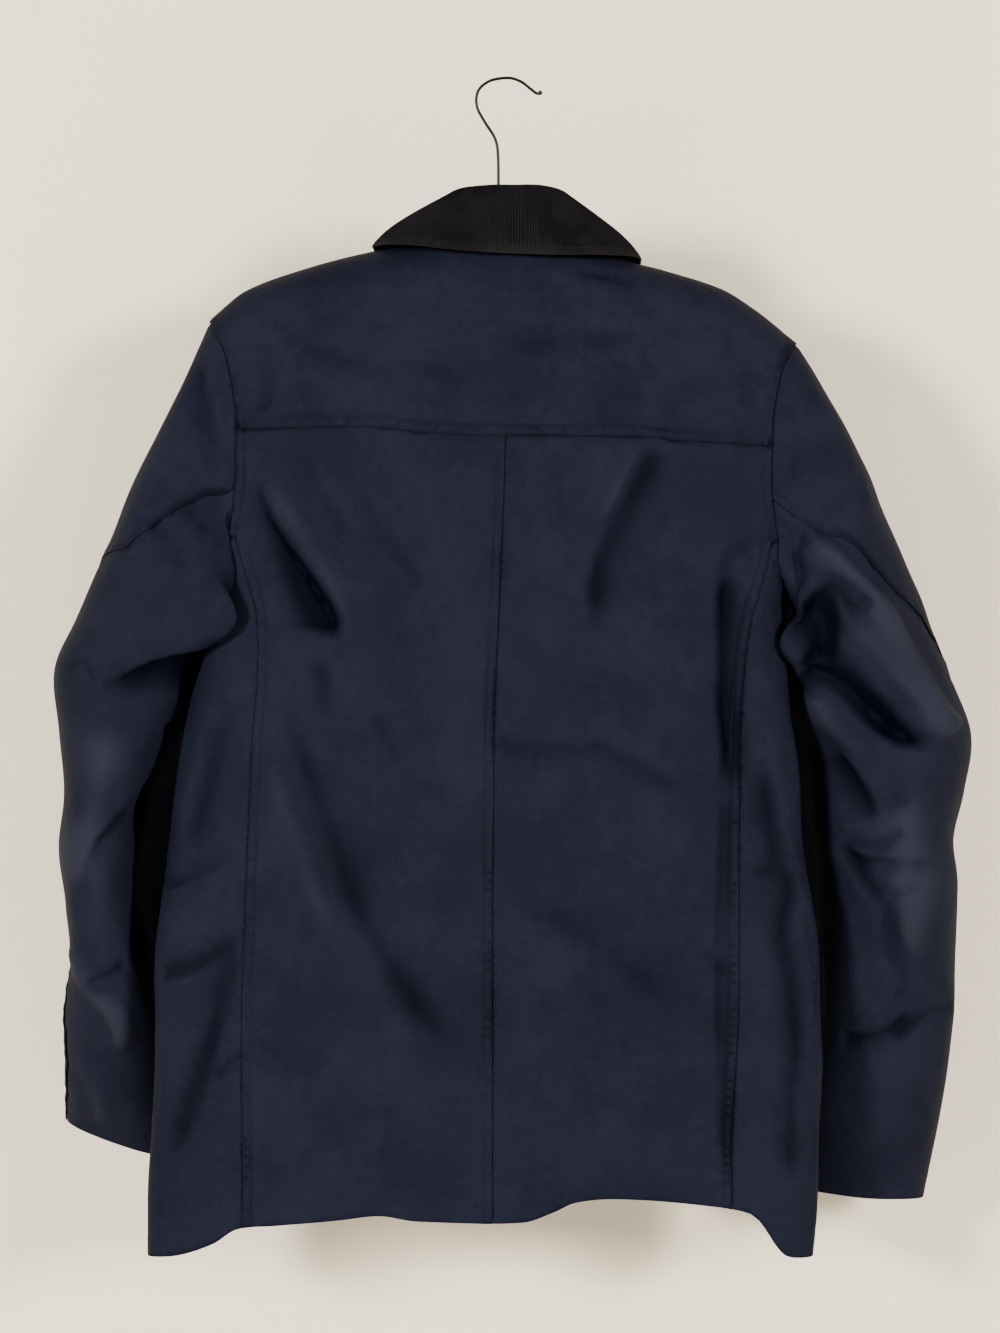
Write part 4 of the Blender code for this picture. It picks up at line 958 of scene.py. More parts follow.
FRONT_FOLDS = table(Fold, (
    ((-158, -320, -140, -400, -116, -475), 26, 30, 9, 0.3, 0.25, 0.1),
    ((-120, -300, -100, -380, -88, -440), 20, 20, -4),
    ((156, -330, 138, -410, 110, -492), 28, 26, 9, 0.3, 0.25, 0.1),
    ((116, -310, 98, -390, 84, -450), 20, 20, -4),
    ((-194, -470, -150, -560, -96, -628), 24, 28, 7, 0.3, 0.3, 0.1),
    ((184, -480, 146, -566, 92, -645), 28, 24, 7, 0.3, 0.3, 0.1),
    ((-60, -520, -48, -640, -56, -760), 14, 16, 3.5),
    ((52, -500, 60, -620, 48, -770), 16, 14, 3.5),
    ((-200, -640, -150, -652, -90, -640), 12, 14, 4, 0.3, 0.3, 0.2),
    ((192, -636, 140, -655, 84, -642), 14, 12, 4, 0.3, 0.3, 0.2),))


@dataclass
class Cut:
    """Where the trunk is cut into its pieces."""

    yoke: tuple[SeamPoint, ...] = table(SeamPoint, (
        (-210, -276), (-160, -275), (-100, -275), (-67, -279), (-24, -281), (97, -282),
        (127, -285), (206, -289)))
    centre_back: tuple[SeamPoint, ...] = table(SeamPoint, (
        (-2, -281), (-5, -371), (-10, -478), (-11, -518), (-12, -655), (-12, -883)))
    side_back: dict[Side, tuple[SeamPoint, ...]] = by_side(
        table(SeamPoint, (
            (-209, -357), (-199, -392), (-192, -419), (-191, -470), (-195, -515),
            (-201, -656), (-203, -755), (-203, -888))),
        table(SeamPoint, (
            (202, -362), (196, -389), (186, -425), (180, -484), (176, -640), (176, -714),
            (172, -813), (171, -872))))
    hem_back: tuple[SeamPoint, ...] = table(SeamPoint, (
        (-280, -914), (-252, -910), (-225, -900), (-208, -889), (-180, -886), (-128, -881),
        (-98, -878), (-70, -882), (11, -883), (35, -875), (50, -868), (81, -865),
        (147, -870), (187, -878), (197, -889), (207, -903), (216, -911), (240, -914)))
    hem_front: tuple[SeamPoint, ...] = table(SeamPoint, (
        (-280, -914), (-250, -909), (-222, -896), (-180, -884), (-100, -879), (110, -876),
        (175, -882), (206, -901), (222, -911), (240, -914)))
    neck_points: tuple[NeckPoint, ...] = table(NeckPoint, (
        (-1.0, 24), (-1.0, 12), (-0.98, 1), (-0.9, -9), (-0.66, -16), (-0.25, -20),
        (0.25, -20), (0.66, -16), (0.9, -9), (0.98, 1), (1.0, 12), (1.0, 24)))
    neck_middle: float = 2.0
    neck_half: float = 70.0
    front_over: float = 24.0
    neck_front_z: float = -206.0
    tip_x: dict[Side, float] = by_side(-232.0, 225.0)
    armpit_z: dict[Side, float] = by_side(-357.0, -362.0)
    underarm_z: dict[Side, float] = by_side(-384.0, -403.0)
    side_seam_angle: dict[Side, float] = by_side(0.0, 45.0)
    insets: tuple[ArmholeInset, ...] = table(ArmholeInset, (
        (0.0, 0.0), (0.05, 7.0), (0.14, 14.0), (0.25, 18.5), (0.4, 22.5), (0.6, 23.0),
        (0.75, 23.0), (0.9, 20.5), (1.0, 18.0)))
    front_fall: float = 0.035
    yoke_inset: float = 22.0
    yoke_z: float = -281.0
    hem_near_z: float = -890.0
    side_back_foot_z: float = -886.0
    side_foot_z: float = -900.0
    centre_foot_z: float = -880.0
    centre_lean: float = 10.0
    step: float = 3.4


class Run(NamedTuple):
    """A run of places on the body, as both flat cuts and the form have them."""

    body: Array
    yoke: Array
    points: Array

    def part(self, start: int, end: int) -> "Run":
        """The places from one number to another, both among them."""
        return Run(*(rows[start:end + 1] for rows in self))


class Armhole:
    """One armhole, from the shoulder tip down the back, under the arm and up the front."""

    ABOVE_YOKE, BELOW_YOKE, UNDERARM, FRONT = 25, 24, 35, 46

    def __init__(self, side: Side, trunk: "Trunk") -> None:
        """Lay the armhole's places on the body.

        Args:
            side: Which armhole.
            trunk: The trunk whose form and cut it follows.
        """
        cut, form = trunk.cut, trunk.form
        tip = cut.tip_x[side]
        top = float(form.shoulder(tip))
        height = cut.armpit_z[side] - top
        yoke_fall = (float(trunk.yoke_z(tip - side.value * cut.yoke_inset)) - top) / height
        falls = {
            Face.BACK: np.concatenate([
                yoke_fall * np.linspace(0, 1, self.ABOVE_YOKE + 1)[:-1] ** 2,
                np.linspace(yoke_fall, 1, self.BELOW_YOKE + 1)]),
            Face.FRONT: np.concatenate([np.linspace(1, cut.front_fall, self.FRONT),
                                        cut.front_fall * np.array([0.7, 0.45, 0.25, 0.1])])}
        back, front = (trunk.run(tip - side.value * trunk.inset(fall),
                                 top + fall * height, face)
                       for face, fall in falls.items())
        swing = np.radians(np.linspace(90, -90, self.UNDERARM + 2)[1:-1])
        edge = side.value * form.quarter
        girth = edge + (back.body[-1, 0] - edge) * np.sin(swing)
        z = cut.armpit_z[side] + (cut.underarm_z[side] - cut.armpit_z[side]) * np.cos(swing)
        self.run = Run(*map(np.vstack, zip(back, trunk.ring_run(girth, z), front)))
        self.yoke, self.side_back = self.ABOVE_YOKE, self.ABOVE_YOKE + self.BELOW_YOKE
        seam = np.abs(np.degrees(swing) - cut.side_seam_angle[side])
        self.side = self.side_back + int(np.argmin(seam)) + 1
        self.front = self.side_back + self.UNDERARM + self.FRONT
        self.closed = np.vstack([self.run.points, self.run.points[:1]])
        ways = ways_along(self.closed)
        under = ways[self.side_back + self.UNDERARM // 2 + 1]
        self.turns = np.where(ways <= under, 180 * ways / under,
                              180 + 180 * (ways - under) / (ways[-1] - under))
        faced = trunk.facing_at(self.run)
        self.facing = np.vstack([faced, faced[:1]])


# pucker, wave and seed of each seam
SEAMS = {"yoke": (0.3, 14, 8), "centre": (0.4, 13, 2), "side_back": (0.4, 14, 3),
         "side": (0.7, 16, 5), "armhole": (0.4, 13, 6), "shoulder": (0.3, 13, 7)}


@dataclass
class Trunk:
    """The body of the jacket: yoke, backs, side panels and fronts."""

    form: BodyForm = field(default_factory=BodyForm)
    cut: Cut = field(default_factory=Cut)
    net: float = 3.7
    front_net: float = 6.0
    seam_row: float = 6.5
    yoke_rows: tuple[float, float] = (2.3, 8.0)

    def __post_init__(self) -> None:
        """Make the curves of the seams and lay the seams out."""
        cut = self.cut
        self.yoke_z = column(cut.yoke, "x", "z")
        self.centre_x = column(cut.centre_back, "z", "x")
        self.side_back_x = {side: column(rows, "z", "x") for side, rows in cut.side_back.items()}
        self.hem_z = {Face.BACK: column(cut.hem_back, "x", "z"),
                      Face.FRONT: column(cut.hem_front, "x", "z")}
        self.inset = column(cut.insets, "fall", "inset")
        self.back_field = FoldField(BACK_FOLDS, seed=4)
        self.front_field = FoldField(FRONT_FOLDS, seed=9)
        self.armholes = {side: Armhole(side, self) for side in Side}
        top_x = float(self.centre_x(cut.yoke_z))
        heights = self._down(float(self.yoke_z(top_x)), top_x - cut.centre_lean)
        self.centre_back = self.run(self.centre_x(heights), heights, Face.BACK)
        self.yoke_runs, self.side_backs, self.sides, self.shoulders = {}, {}, {}, {}
        self.necks, self.centres = {}, {}
        for side, hole in self.armholes.items():
            self._lay_back(side, hole, top_x)
            self._lay_front(side, hole)
        self.yoke_run = Run(*(np.vstack([left[::-1], right[1:]])
                              for left, right in zip(*self.yoke_runs.values())))
        share, over = rounded_line(cut.neck_points, 6).T
        self.neck_flat = rows_of(cut.neck_middle + cut.neck_half * share, over)
        self.seams: dict[tuple[str, Side], SeamLine] = {}
        for side, hole in self.armholes.items():
            lines = {"yoke": self.yoke_run, "centre": self.centre_back,
                     "side_back": self.side_backs[side], "side": self.sides[side],
                     "shoulder": self.shoulders[side]}
            for name, (pucker, wave, seed) in SEAMS.items():
                line = lines[name].points if name in lines else hole.closed
                self.seams[name, side] = SeamLine(line, pucker, wave, seed=seed)

    def run(self, x: Array, z: Array, face: Face) -> Run:
        """Places on the back or front by width and height.

        Args:
            x: Widths of the places.
            z: Their heights.
            face: The face they are on.

        Returns:
            The places.
        """
        body = rows_of(self.form.girth_at(x, z, face), z)
        yoke = rows_of(x, self.form.over_at(x, z, face))
        near_top = (self.form.shoulder(x) - z < self.form.ridge_radius)[:, None]
        return Run(body, yoke, np.where(near_top, self.form.yoke_base(yoke), self.form.base(body)))

    def ring_run(self, girth: Union[Array, float], z: Array) -> Run:
        """Places on the body by the way round it and height.

        Args:
            girth: The ways round.
            z: The heights.

        Returns:
            The places.
        """
        body = rows_of(girth, z)
        points = self.form.base(body)
        return Run(body, rows_of(points[:, 0], 0.0), points)

    def facing_at(self, run: Run) -> Array:
        """Outward directions at a run of places.

        Args:
            run: The places.

        Returns:
            A direction of length 1 for each place.
        """
        near_top = self.form.shoulder(run.points[:, 0]) - run.points[:, 2] < self.form.ridge_radius
        return np.where(near_top[:, None], facing(self.form.yoke_base, run.yoke),
                        facing(self.form.base, run.body))

    def folds(self, flat: Array, base: Array) -> Array:
        """How far the trunk's folds push in at points of its form.

        Args:
            flat: The flat places.
            base: Their points on the form.

        Returns:
            The way in, in millimetres.
        """
        fade = ease(np.abs(base[:, 1]) / self.form.fold_fade)
        back = base[:, 1] < 0
        push = np.zeros(len(base))
        for face, mask in ((self.back_field, back), (self.front_field, ~back)):
            if mask.any():
                push[mask] = face.push(base[mask, 0], base[mask, 2])
        return push * fade

    def _down(self, top: float, hem_x: float, face: Face = Face.BACK) -> Array:
        """Heights from one down to the hem."""
        return steps(top, float(self.hem_z[face](hem_x)), self.cut.step)

    def _lay_back(self, side: Side, hole: Armhole, top_x: float) -> None:
        """Lay out one side's seams that show from behind.

        Args:
            side: The side.
            hole: Its armhole.
            top_x: Where the centre-back seam starts.
        """
        x = steps(top_x, hole.run.points[hole.yoke, 0], self.cut.step)
        self.yoke_runs[side] = self.run(x, self.yoke_z(x), Face.BACK)
        start = hole.run.points[hole.side_back]
        curve = self.side_back_x[side]
        heights = self._down(start[2], curve(self.cut.side_back_foot_z))
        x = curve(heights)
        x[0] = start[0]
        self.side_backs[side] = self.run(x, heights, Face.BACK)
        girth, top = hole.run.body[hole.side]
        foot_x = self.form.base(np.array([[girth, self.cut.side_foot_z]]))[0, 0]
        self.sides[side] = self.ring_run(girth, self._down(top, foot_x))

    def _lay_front(self, side: Side, hole: Armhole) -> None:
        """Lay out one side's shoulder seam, front neckline and centre front.

        Args:
            side: The side.
            hole: Its armhole.
        """
        cut, form, half = self.cut, self.form, side.value * self.form.half
        corner_x = cut.neck_middle + side.value * cut.neck_half
        corner = form.yoke_base(np.array([[corner_x, cut.front_over]]))[0]
        start = hole.run.yoke[hole.front]
        x = steps(start[0], corner_x, cut.step)
        over = start[1] + (cut.front_over - start[1]) * ((x - start[0]) / (corner_x - start[0]))
        self.shoulders[side] = self.run(x, form.yoke_base(rows_of(x, over))[:, 2], Face.FRONT)
        middle_x = float(form.middle(cut.neck_front_z))
        swing = np.radians(np.linspace(0, 90, 30))
        neck = self.run(middle_x + (corner_x - middle_x) * np.cos(swing),
                        corner[2] + (cut.neck_front_z - corner[2]) * np.sin(swing), Face.FRONT)
        end = self.ring_run(half, np.array([cut.neck_front_z]))
        self.necks[side] = Run(*(np.vstack([rows[:-1], last]) for rows, last in zip(neck, end)))
        heights = self._down(cut.neck_front_z, form.middle(cut.centre_foot_z), Face.FRONT)
        self.centres[side] = self.ring_run(half, heights)

    def _edge(self, flat: Array, role: SeamRole, name: str, side: Side,
              sewn: bool = False) -> Edge:
        """An edge at a named seam, with a row of stitches or without."""
        return Edge(flat, role, self.seams[name, side], (self.seam_row,) if sewn else ())

    def _at_hole(self, side: Side, start: int, end: int) -> Edge:
        """A panel's edge at the armhole, between two numbers of its places."""
        run = self.armholes[side].run.part(start, end)
        return self._edge(run.body, SeamRole.LAP, "armhole", side, True)

    def _finished(self, run: Run) -> Edge:
        """A finished edge with no stitching."""
        return Edge(run.body, SeamRole.EDGE, SeamLine(run.points, 0.0))

    def hem(self, start: Array, end: Array) -> Edge:
        """The hem of one panel between two flat places.

        Args:
            start: The flat place where it starts.
            end: The flat place where it ends.

        Returns:
            The edge.
        """
        girth = steps(start[0], end[0], self.cut.step)
        x = self.form.base(rows_of(girth, self.cut.hem_near_z))[:, 0]
        z = np.where(np.abs(girth) < self.form.quarter, self.hem_z[Face.BACK](x),
                     self.hem_z[Face.FRONT](x))
        z[0], z[-1] = start[1], end[1]
        return self._finished(self.ring_run(girth, z))

    def _panel(self, name: str, side: Side, edges: list[Edge], seams: str,
               net: float) -> ClothPiece:
        """One panel, from its edges and the names of the seams that pucker it."""
        puckered = [self.seams[seam, side] for seam in seams.split()]
        return ClothPiece(f"{name}_{side.word}", edges, self.form.base, self.folds, net, puckered)

    def back(self, side: Side) -> ClothPiece:
        """One half of the back.

        Args:
            side: Which half.

        Returns:
            The piece.
        """
        hole, seam, centre = self.armholes[side], self.side_backs[side].body, self.centre_back.body
        role = SeamRole.LAP if side is Side.LEFT else SeamRole.UNDER
        return self._panel("back", side, [
            self._edge(self.yoke_runs[side].body, SeamRole.UNDER, "yoke", side),
            self._at_hole(side, hole.yoke, hole.side_back),
            self._edge(seam, SeamRole.LAP, "side_back", side, True),
            self.hem(seam[-1], centre[-1]),
            self._edge(centre[::-1], role, "centre", side, side is Side.LEFT),
        ], "yoke centre armhole side_back", self.net)

    def side(self, side: Side) -> ClothPiece:
        """One side panel.

        Args:
            side: Which one.

        Returns:
            The piece.
        """
        hole, inner, outer = self.armholes[side], self.side_backs[side].body, self.sides[side].body
        return self._panel("side", side, [
            self._at_hole(side, hole.side_back, hole.side),
            self._edge(outer, SeamRole.LAP, "side", side),
            self.hem(outer[-1], inner[-1]),
            self._edge(inner[::-1], SeamRole.UNDER, "side_back", side),
        ], "armhole side_back side", self.net)

    def front(self, side: Side) -> ClothPiece:
        """One front.

        Args:
            side: Which one.

        Returns:
            The piece.
        """
        hole, outer, centre = self.armholes[side], self.sides[side].body, self.centres[side]
        return self._panel("front", side, [
            self._at_hole(side, hole.side, hole.front),
            self._edge(self.shoulders[side].body, SeamRole.UNDER, "shoulder", side),
            self._finished(self.necks[side]),
            self._finished(centre),
            self.hem(centre.body[-1], outer[-1]),
            self._edge(outer[::-1], SeamRole.UNDER, "side", side),
        ], "armhole side shoulder", self.front_net)

    def yoke(self) -> ClothPiece:
        """The yoke over both shoulders.

        Returns:
            The piece.
        """
        sides = {}
        for side, hole in self.armholes.items():
            yoke = hole.run.yoke
            climb = np.vstack([yoke[:hole.yoke + 1][::-1], yoke[hole.front:][::-1]])
            sides[side] = [
                self._edge(climb, SeamRole.LAP, "armhole", side, True),
                self._edge(self.shoulders[side].yoke, SeamRole.LAP, "shoulder", side, True)]
        seam = self.seams["yoke", Side.LEFT]
        neck = SeamLine(self.form.yoke_base(self.neck_flat), 0.0)
        edges = [Edge(self.yoke_run.yoke, SeamRole.LAP, seam, self.yoke_rows),
                 *sides[Side.RIGHT], Edge(self.neck_flat[::-1], SeamRole.EDGE, neck),
                 *(edge.turned() for edge in sides[Side.LEFT][::-1])]
        puckered = [seam] + [self.seams["armhole", side] for side in Side]
        return ClothPiece("back_yoke", edges, self.form.yoke_base, self.folds, self.net, puckered)

    def pieces(self) -> list[ClothPiece]:
        """Every piece of the trunk.

        Returns:
            The pieces.
        """
        made = [self.yoke()]
        for side in Side:
            made += [self.back(side), self.side(side), self.front(side)]
        return made


# ---------------------------------------------------------------- sleeves
class SleeveRing(NamedTuple):
    """A ring of a sleeve: its outer and inner point, its middle and half depth in y, its lean."""

    out_x: float
    out_z: float
    in_x: float
    in_z: float
    mid_y: float
    depth: float
    lean: float


class SeamTurn(NamedTuple):
    """Where a sleeve seam runs: 0 degrees is the outer side of a ring, 90 its back."""

    ring: float
    turn: float


class Bulge(NamedTuple):
    """Where a sleeve sags out of its smooth form, and which way."""

    turn: float
    ring: float
    turn_reach: float
    ring_reach: float
    x: float
    y: float
    z: float


@dataclass
class SleeveTables:
    """Sizes of one sleeve."""

    rings: tuple[SleeveRing, ...]
    back_seam: tuple[SeamTurn, ...]
    folds: tuple[Fold, ...]
    bulges: tuple[Bulge, ...]
    front_seam: tuple[SeamTurn, ...] = table(SeamTurn, (
        (0, -112), (2, -125), (4, -138), (9, -140), (13, -132)))


SLEEVES = {
    Side.LEFT: SleeveTables(
        rings=table(SleeveRing, (
            (-232, -190, -228, -384, 0, 40, 0), (-259, -250, -236, -404, 0, 50, 0),
            (-286, -305, -238, -422, 2, 57, 8), (-312, -368, -239, -440, 6, 60, 24),
            (-337, -419, -241, -456, 12, 60, 36), (-355, -459, -245, -474, 20, 58, 40),
            (-352, -508, -254, -502, 28, 60, 42), (-350, -556, -274, -546, 36, 62, 46),
            (-351, -604, -287, -600, 42, 62, 52), (-351, -648, -290, -648, 48, 60, 52),
            (-347, -690, -278, -692, 54, 57, 38), (-354, -735, -275, -741, 62, 52, 28),
            (-355, -779, -270, -790, 72, 46, 18), (-356, -822, -264, -853, 86, 40, 8))),
        back_seam=table(SeamTurn, (
            (0, 111), (0.5, 101), (0.9, 91), (1.3, 85), (1.75, 79), (2.15, 73), (2.5, 63),
            (2.8, 50), (3.1, 15), (3.4, -6), (4, -14), (6, -18), (9, -6), (11, 24), (13, 16))),
        folds=table(Fold, (
            ((-240, -211, -237, -254, -225, -284, -220, -307), 10, 12, 4),
            ((-229, -208, -224, -242, -220, -277), 8, 8, -2.5),
            ((-313, -475, -283, -463, -250, -450, -220, -441), 9, 52, 15, 0.5, 0.04, 0.95, 0.15),
            ((-343, -459, -330, -454, -325, -460, -317, -473), 5, 5, 3.5, 0.2, 0.1, 1),
            ((-254, -502, -257, -520, -268, -547, -276, -565, -280, -602, -283, -630, -283, -689),
             60, 11, 30, 0.06, 0.25, 0.9),
            ((-284, -559, -308, -586, -319, -602, -336, -653), 38, 9, 5, 0.3, 0.15, 0.9, 0.3),
            ((-330, -708, -312, -700, -296, -689), 5, 14, 5, 0.2, 0.2, 0.9),
            ((-342, -677, -330, -704, -308, -733, -304, -764), 14, 9, -5, 0.1, 0.2, 1),
            ((-341, -759, -330, -785, -319, -821), 10, 8, -3, 0.2, 0.2, 1),
            ((-301, -494, -314, -547, -323, -618, -311, -689), 42, 42, -5.5),
            ((-248, -223, -271, -288, -294, -361), 38, 38, -2.4),
            ((-275, -340, -264, -361, -267, -384), 9, 9, 2.5),
            ((-248, -329, -237, -353), 8, 8, 2.2),)),
        bulges=table(Bulge, ((120, 2.6, 46, 2.0, 46, -9, -8), (128, 1.0, 42, 1.0, 18, 0, -6)))),
    Side.RIGHT: SleeveTables(
        rings=table(SleeveRing, (
            (225, -207, 218, -403, 0, 40, 0), (248, -243, 227, -420, 0, 50, 4),
            (269, -281, 229, -436, 2, 57, 16), (290, -330, 228, -450, 6, 60, 32),
            (316, -388, 227, -463, 12, 60, 40), (342, -453, 228, -478, 20, 57, 40),
            (365, -510, 232, -500, 28, 54, 38), (361, -556, 238, -533, 34, 54, 36),
            (353, -596, 242, -580, 40, 55, 34), (357, -636, 246, -628, 46, 55, 32),
            (357, -684, 247, -676, 54, 52, 26), (355, -749, 247, -745, 64, 48, 18),
            (349, -810, 240, -810, 76, 44, 8), (336, -885, 231, -876, 88, 40, 4))),
        back_seam=table(SeamTurn, (
            (0, 108), (1, 99), (2, 90), (3, 73), (4, 54), (5, 8), (6, -14), (13, -14))),
        folds=table(Fold, (
            ((229, -358, 250, -375, 279, -404, 298, -432, 316, -459, 335, -490, 350, -507), 9, 16,
             -7, 0.1, 0.05, 1),
            ((344, -524, 302, -513, 279, -496, 250, -472, 230, -459), 15, 34, 16, 0.45, 0.1, 0.9,
             0.2),
            ((238, -396, 255, -401, 265, -413, 281, -404), 13, 8, 6, 0.1, 0.25, 0.8),
            ((233, -401, 243, -413, 247, -435, 241, -459), 13, 13, 17, 0.15, 0.2, 0.5),
            ((216, -367, 226, -384, 233, -395), 8, 6, 5, 0.2, 0.3, 0.7),
            ((251, -521, 267, -543, 279, -563, 282, -576), 7, 32, 8, 0.3, 0.1, 0.9, 0.5),
            ((292, -565, 312, -559), 6, 6, 3, 0.2, 0.2, 0.7),
            ((261, -591, 275, -598, 292, -598, 308, -584), 9, 4, 4.5, 0.15, 0.2, 0.9),
            ((259, -593, 275, -609, 331, -610), 5, 12, 4, 0.15, 0.2, 0.9),
            ((261, -599, 275, -624, 292, -646, 295, -665, 301, -689, 309, -708, 298, -732), 16, 5,
             5.5, 0.1, 0.2, 0.7),
            ((295, -638, 322, -627), 6, 8, 2.8, 0.3, 0.3, 0.7),
            ((261, -750, 292, -748, 317, -730), 5, 14, 5, 0.1, 0.2, 0.9),
            ((303, -755, 327, -736, 353, -726), 14, 5, 5, 0.15, 0.1, 0.9),
            ((312, -540, 309, -610, 314, -689), 46, 42, -5.5),
            ((233, -231, 263, -296, 289, -365), 38, 38, -2.6),
            ((261, -424, 292, -455, 318, -486, 338, -513), 15, 13, -4, 0.2, 0.2, 0.4),
            ((233, -475, 253, -506, 279, -532), 20, 20, -4, 0.2, 0.3, 0.3),
            ((233, -335, 255, -330, 276, -324), 13, 14, 3.5),
            ((206, -356, 230, -361), 9, 9, 4, 0.2),
            ((215, -315, 220, -298, 224, -281), 9, 9, 3.5),)),
        bulges=table(Bulge, ((142, 2.9, 42, 2.6, -14, -4, -14), (142, 2.1, 42, 1.2, -14, -4, 0)))),
}


@dataclass
class Sleeve:
    """One two-piece sleeve, hung from its armhole."""

    side: Side
    hole: Armhole
    tables: SleeveTables
    power: float = 2.3
    girth: float = 380.0
    blend_rings: float = 2.6
    clear: float = 0.4
    fold_fade: float = 26.0
    front_turn: float = -95.0
    front_rings: tuple[float, ...] = (4.6, 6.2, 7.6)
    front_depth: float = 7.0
    front_reach: float = 60.0
    front_width: float = 0.45
    first_ring: float = 0.8
    swell: float = 0.9
    net: float = 3.7
    back_row: float = 5.5
    cuff_row: float = 9.0
    step: float = 3.4

    def __post_init__(self) -> None:
        """Make the curves of the tables and measure the sleeve's middle line."""
        last = len(self.tables.rings) - 1
        self.curves = {name: SmoothCurve(list(enumerate(values))) for name, values
                       in zip(SleeveRing._fields, zip(*self.tables.rings))}
        self.fine = np.linspace(0, last, last * 10 + 1)
        self.lengths = ways_along(self.middle(self.fine))
        self.heart = self.middle(np.array([0.0]))[0]
        tangent = unit(np.gradient(self.hole.closed, axis=0))
        into = unit(np.cross(tangent, self.hole.facing))
        self.into = into * np.sign(-self.side.value * into[:, 0].mean())
        self.field = FoldField(self.tables.folds, 20 + self.side.value, self.swell)
        self._lay_seams()

    def at(self, name: str, ring: Array) -> Array:
        """One column of the rings' table."""
        return self.curves[name](ring)

    def middle(self, ring: Array) -> Array:
        """The middle of a ring.

        Args:
            ring: The ring, which may be between two.

        Returns:
            The points.
        """
        return rows_of((self.at("out_x", ring) + self.at("in_x", ring)) / 2,
                       self.at("mid_y", ring),
                       (self.at("out_z", ring) + self.at("in_z", ring)) / 2)

    def around_hole(self, turn: Array, rows: Array) -> Array:
        """Values given round the armhole, at angles round it."""
        return between(np.mod(turn, 360.0), self.hole.turns, rows)

    def base(self, turn: Array, ring: Array) -> Array:
        """Points of the sleeve's smooth form.

        Args:
            turn: The turns in degrees.
            ring: The rings.

        Returns:
            The points.
        """
        angle = np.radians(turn)
        across = signed_power(np.cos(angle), 2 / self.power)[:, None]
        back = signed_power(np.sin(angle), 2 / self.power)
        half = rows_of(self.at("out_x", ring) - self.at("in_x", ring), 0.0,
                       self.at("out_z", ring) - self.at("in_z", ring)) / 2
        offset = half * across
        offset[:, 1] -= self.at("depth", ring) * back
        offset[:, 0] -= self.side.value * self.at("lean", ring) * ease(-back)
        share = ease(ring / self.blend_rings)[:, None]
        start = self.around_hole(turn, self.hole.closed) - self.heart
        start[:, 0] += self.side.value * self.clear
        return self.middle(ring) + start * (1 - share) + offset * share

    def _turn_and_ring(self, flat: Array) -> tuple[Array, Array]:
        """The angle and the ring's number at flat places."""
        return flat[:, 0] / self.girth * 360, np.interp(flat[:, 1], self.lengths, self.fine)

    def form(self, flat: Array) -> Array:
        """Points of the form at (way round, length), running on under the body at the top.

        Args:
            flat: The flat places.

        Returns:
            The points.
        """
        turn, ring = self._turn_and_ring(flat)
        points = self.base(turn, ring) + self._bulge(turn, ring)
        above = np.maximum(-flat[:, 1], 0.0)[:, None]
        return points + self.around_hole(turn, self.into) * above

    def _bulge(self, turn: Array, ring: Array) -> Array:
        """How the sleeve sags out of its smooth form.

        Args:
            turn: The turns in degrees.
            ring: The rings.

        Returns:
            The moves in x, y and z.
        """
        total = np.zeros((len(turn), 3))
        for row in self.tables.bulges:
            aside = np.abs(np.mod(turn - row.turn + 180, 360) - 180) / row.turn_reach
            along = np.abs(ring - row.ring) / row.ring_reach
            share = (1 - ease(aside)) * (1 - ease(along))
            total += share[:, None] * np.array([row.x, row.y, row.z])
        return total

    def folds(self, flat: Array, base: Array) -> Array:
        """How far the sleeve's folds push in.

        Args:
            flat: The flat places.
            base: Their points on the form.

        Returns:
            The way in, in millimetres.
        """
        turn, ring = self._turn_and_ring(flat)
        smooth = self.base(turn, ring)
        behind = self.at("mid_y", ring) - smooth[:, 1]
        push = self.field.push(smooth[:, 0], smooth[:, 2])
        push = push * ease(behind / self.fold_fade) * ease(ring / self.first_ring) * (behind > 0)
        away = (np.mod(turn - self.front_turn + 180, 360) - 180) / self.front_reach
        soft = sum(np.exp(-((ring - at) / self.front_width) ** 2) for at in self.front_rings)
        front = self.front_depth * soft * np.exp(-away * away) * ease(-behind / self.fold_fade)
        return push + front * (behind <= 0)

    def _lay_seams(self) -> None:
        """Lay out the two seams, the cuff and the armhole edge."""
        length = steps(0.0, self.lengths[-1], self.step)
        ring = np.interp(length, self.lengths, self.fine)
        self.back_line, self.front_line = (
            rows_of(column(turns, "ring", "turn")(ring) * (self.girth / 360), length)
            for turns in (self.tables.back_seam, self.tables.front_seam))
        self.back_seam = SeamLine(self.form(self.back_line), 0.75, 14, 10, seed=11)
        self.front_seam = SeamLine(self.form(self.front_line), 0.3, 14, seed=12)

    def _level(self, start: Array, end: Array, rows: tuple[float, ...], role: SeamRole) -> Edge:
        """An edge round the sleeve between two flat places of one length."""
        flat = rows_of(steps(start[0], end[0], self.step), start[1])
        return Edge(flat, role, SeamLine(self.form(flat), 0.0), rows)

    def pieces(self) -> list[ClothPiece]:
        """The upper and the under piece.

        Returns:
            The pieces.
        """
        over = self.front_line + np.array([self.girth, 0.0])
        front, back = self.front_seam, self.back_seam
        made = []
        for name, left, right, left_seam, right_seam, role, rows in (
                ("upper", self.front_line, self.back_line, front, back, SeamRole.LAP,
                 (self.back_row,)),
                ("under", self.back_line, over, back, front, SeamRole.UNDER, ())):
            edges = [
                self._level(left[0], right[0], (), SeamRole.UNDER),
                Edge(right, role, right_seam, rows),
                self._level(right[-1], left[-1], (self.cuff_row,), SeamRole.EDGE),
                Edge(left[::-1], role, left_seam, rows)]
            made.append(ClothPiece(f"sleeve_{name}_{self.side.word}", edges, self.form,
                                   self.folds, self.net, (back, front),
                                   hand=float(self.side.value)))
        return made


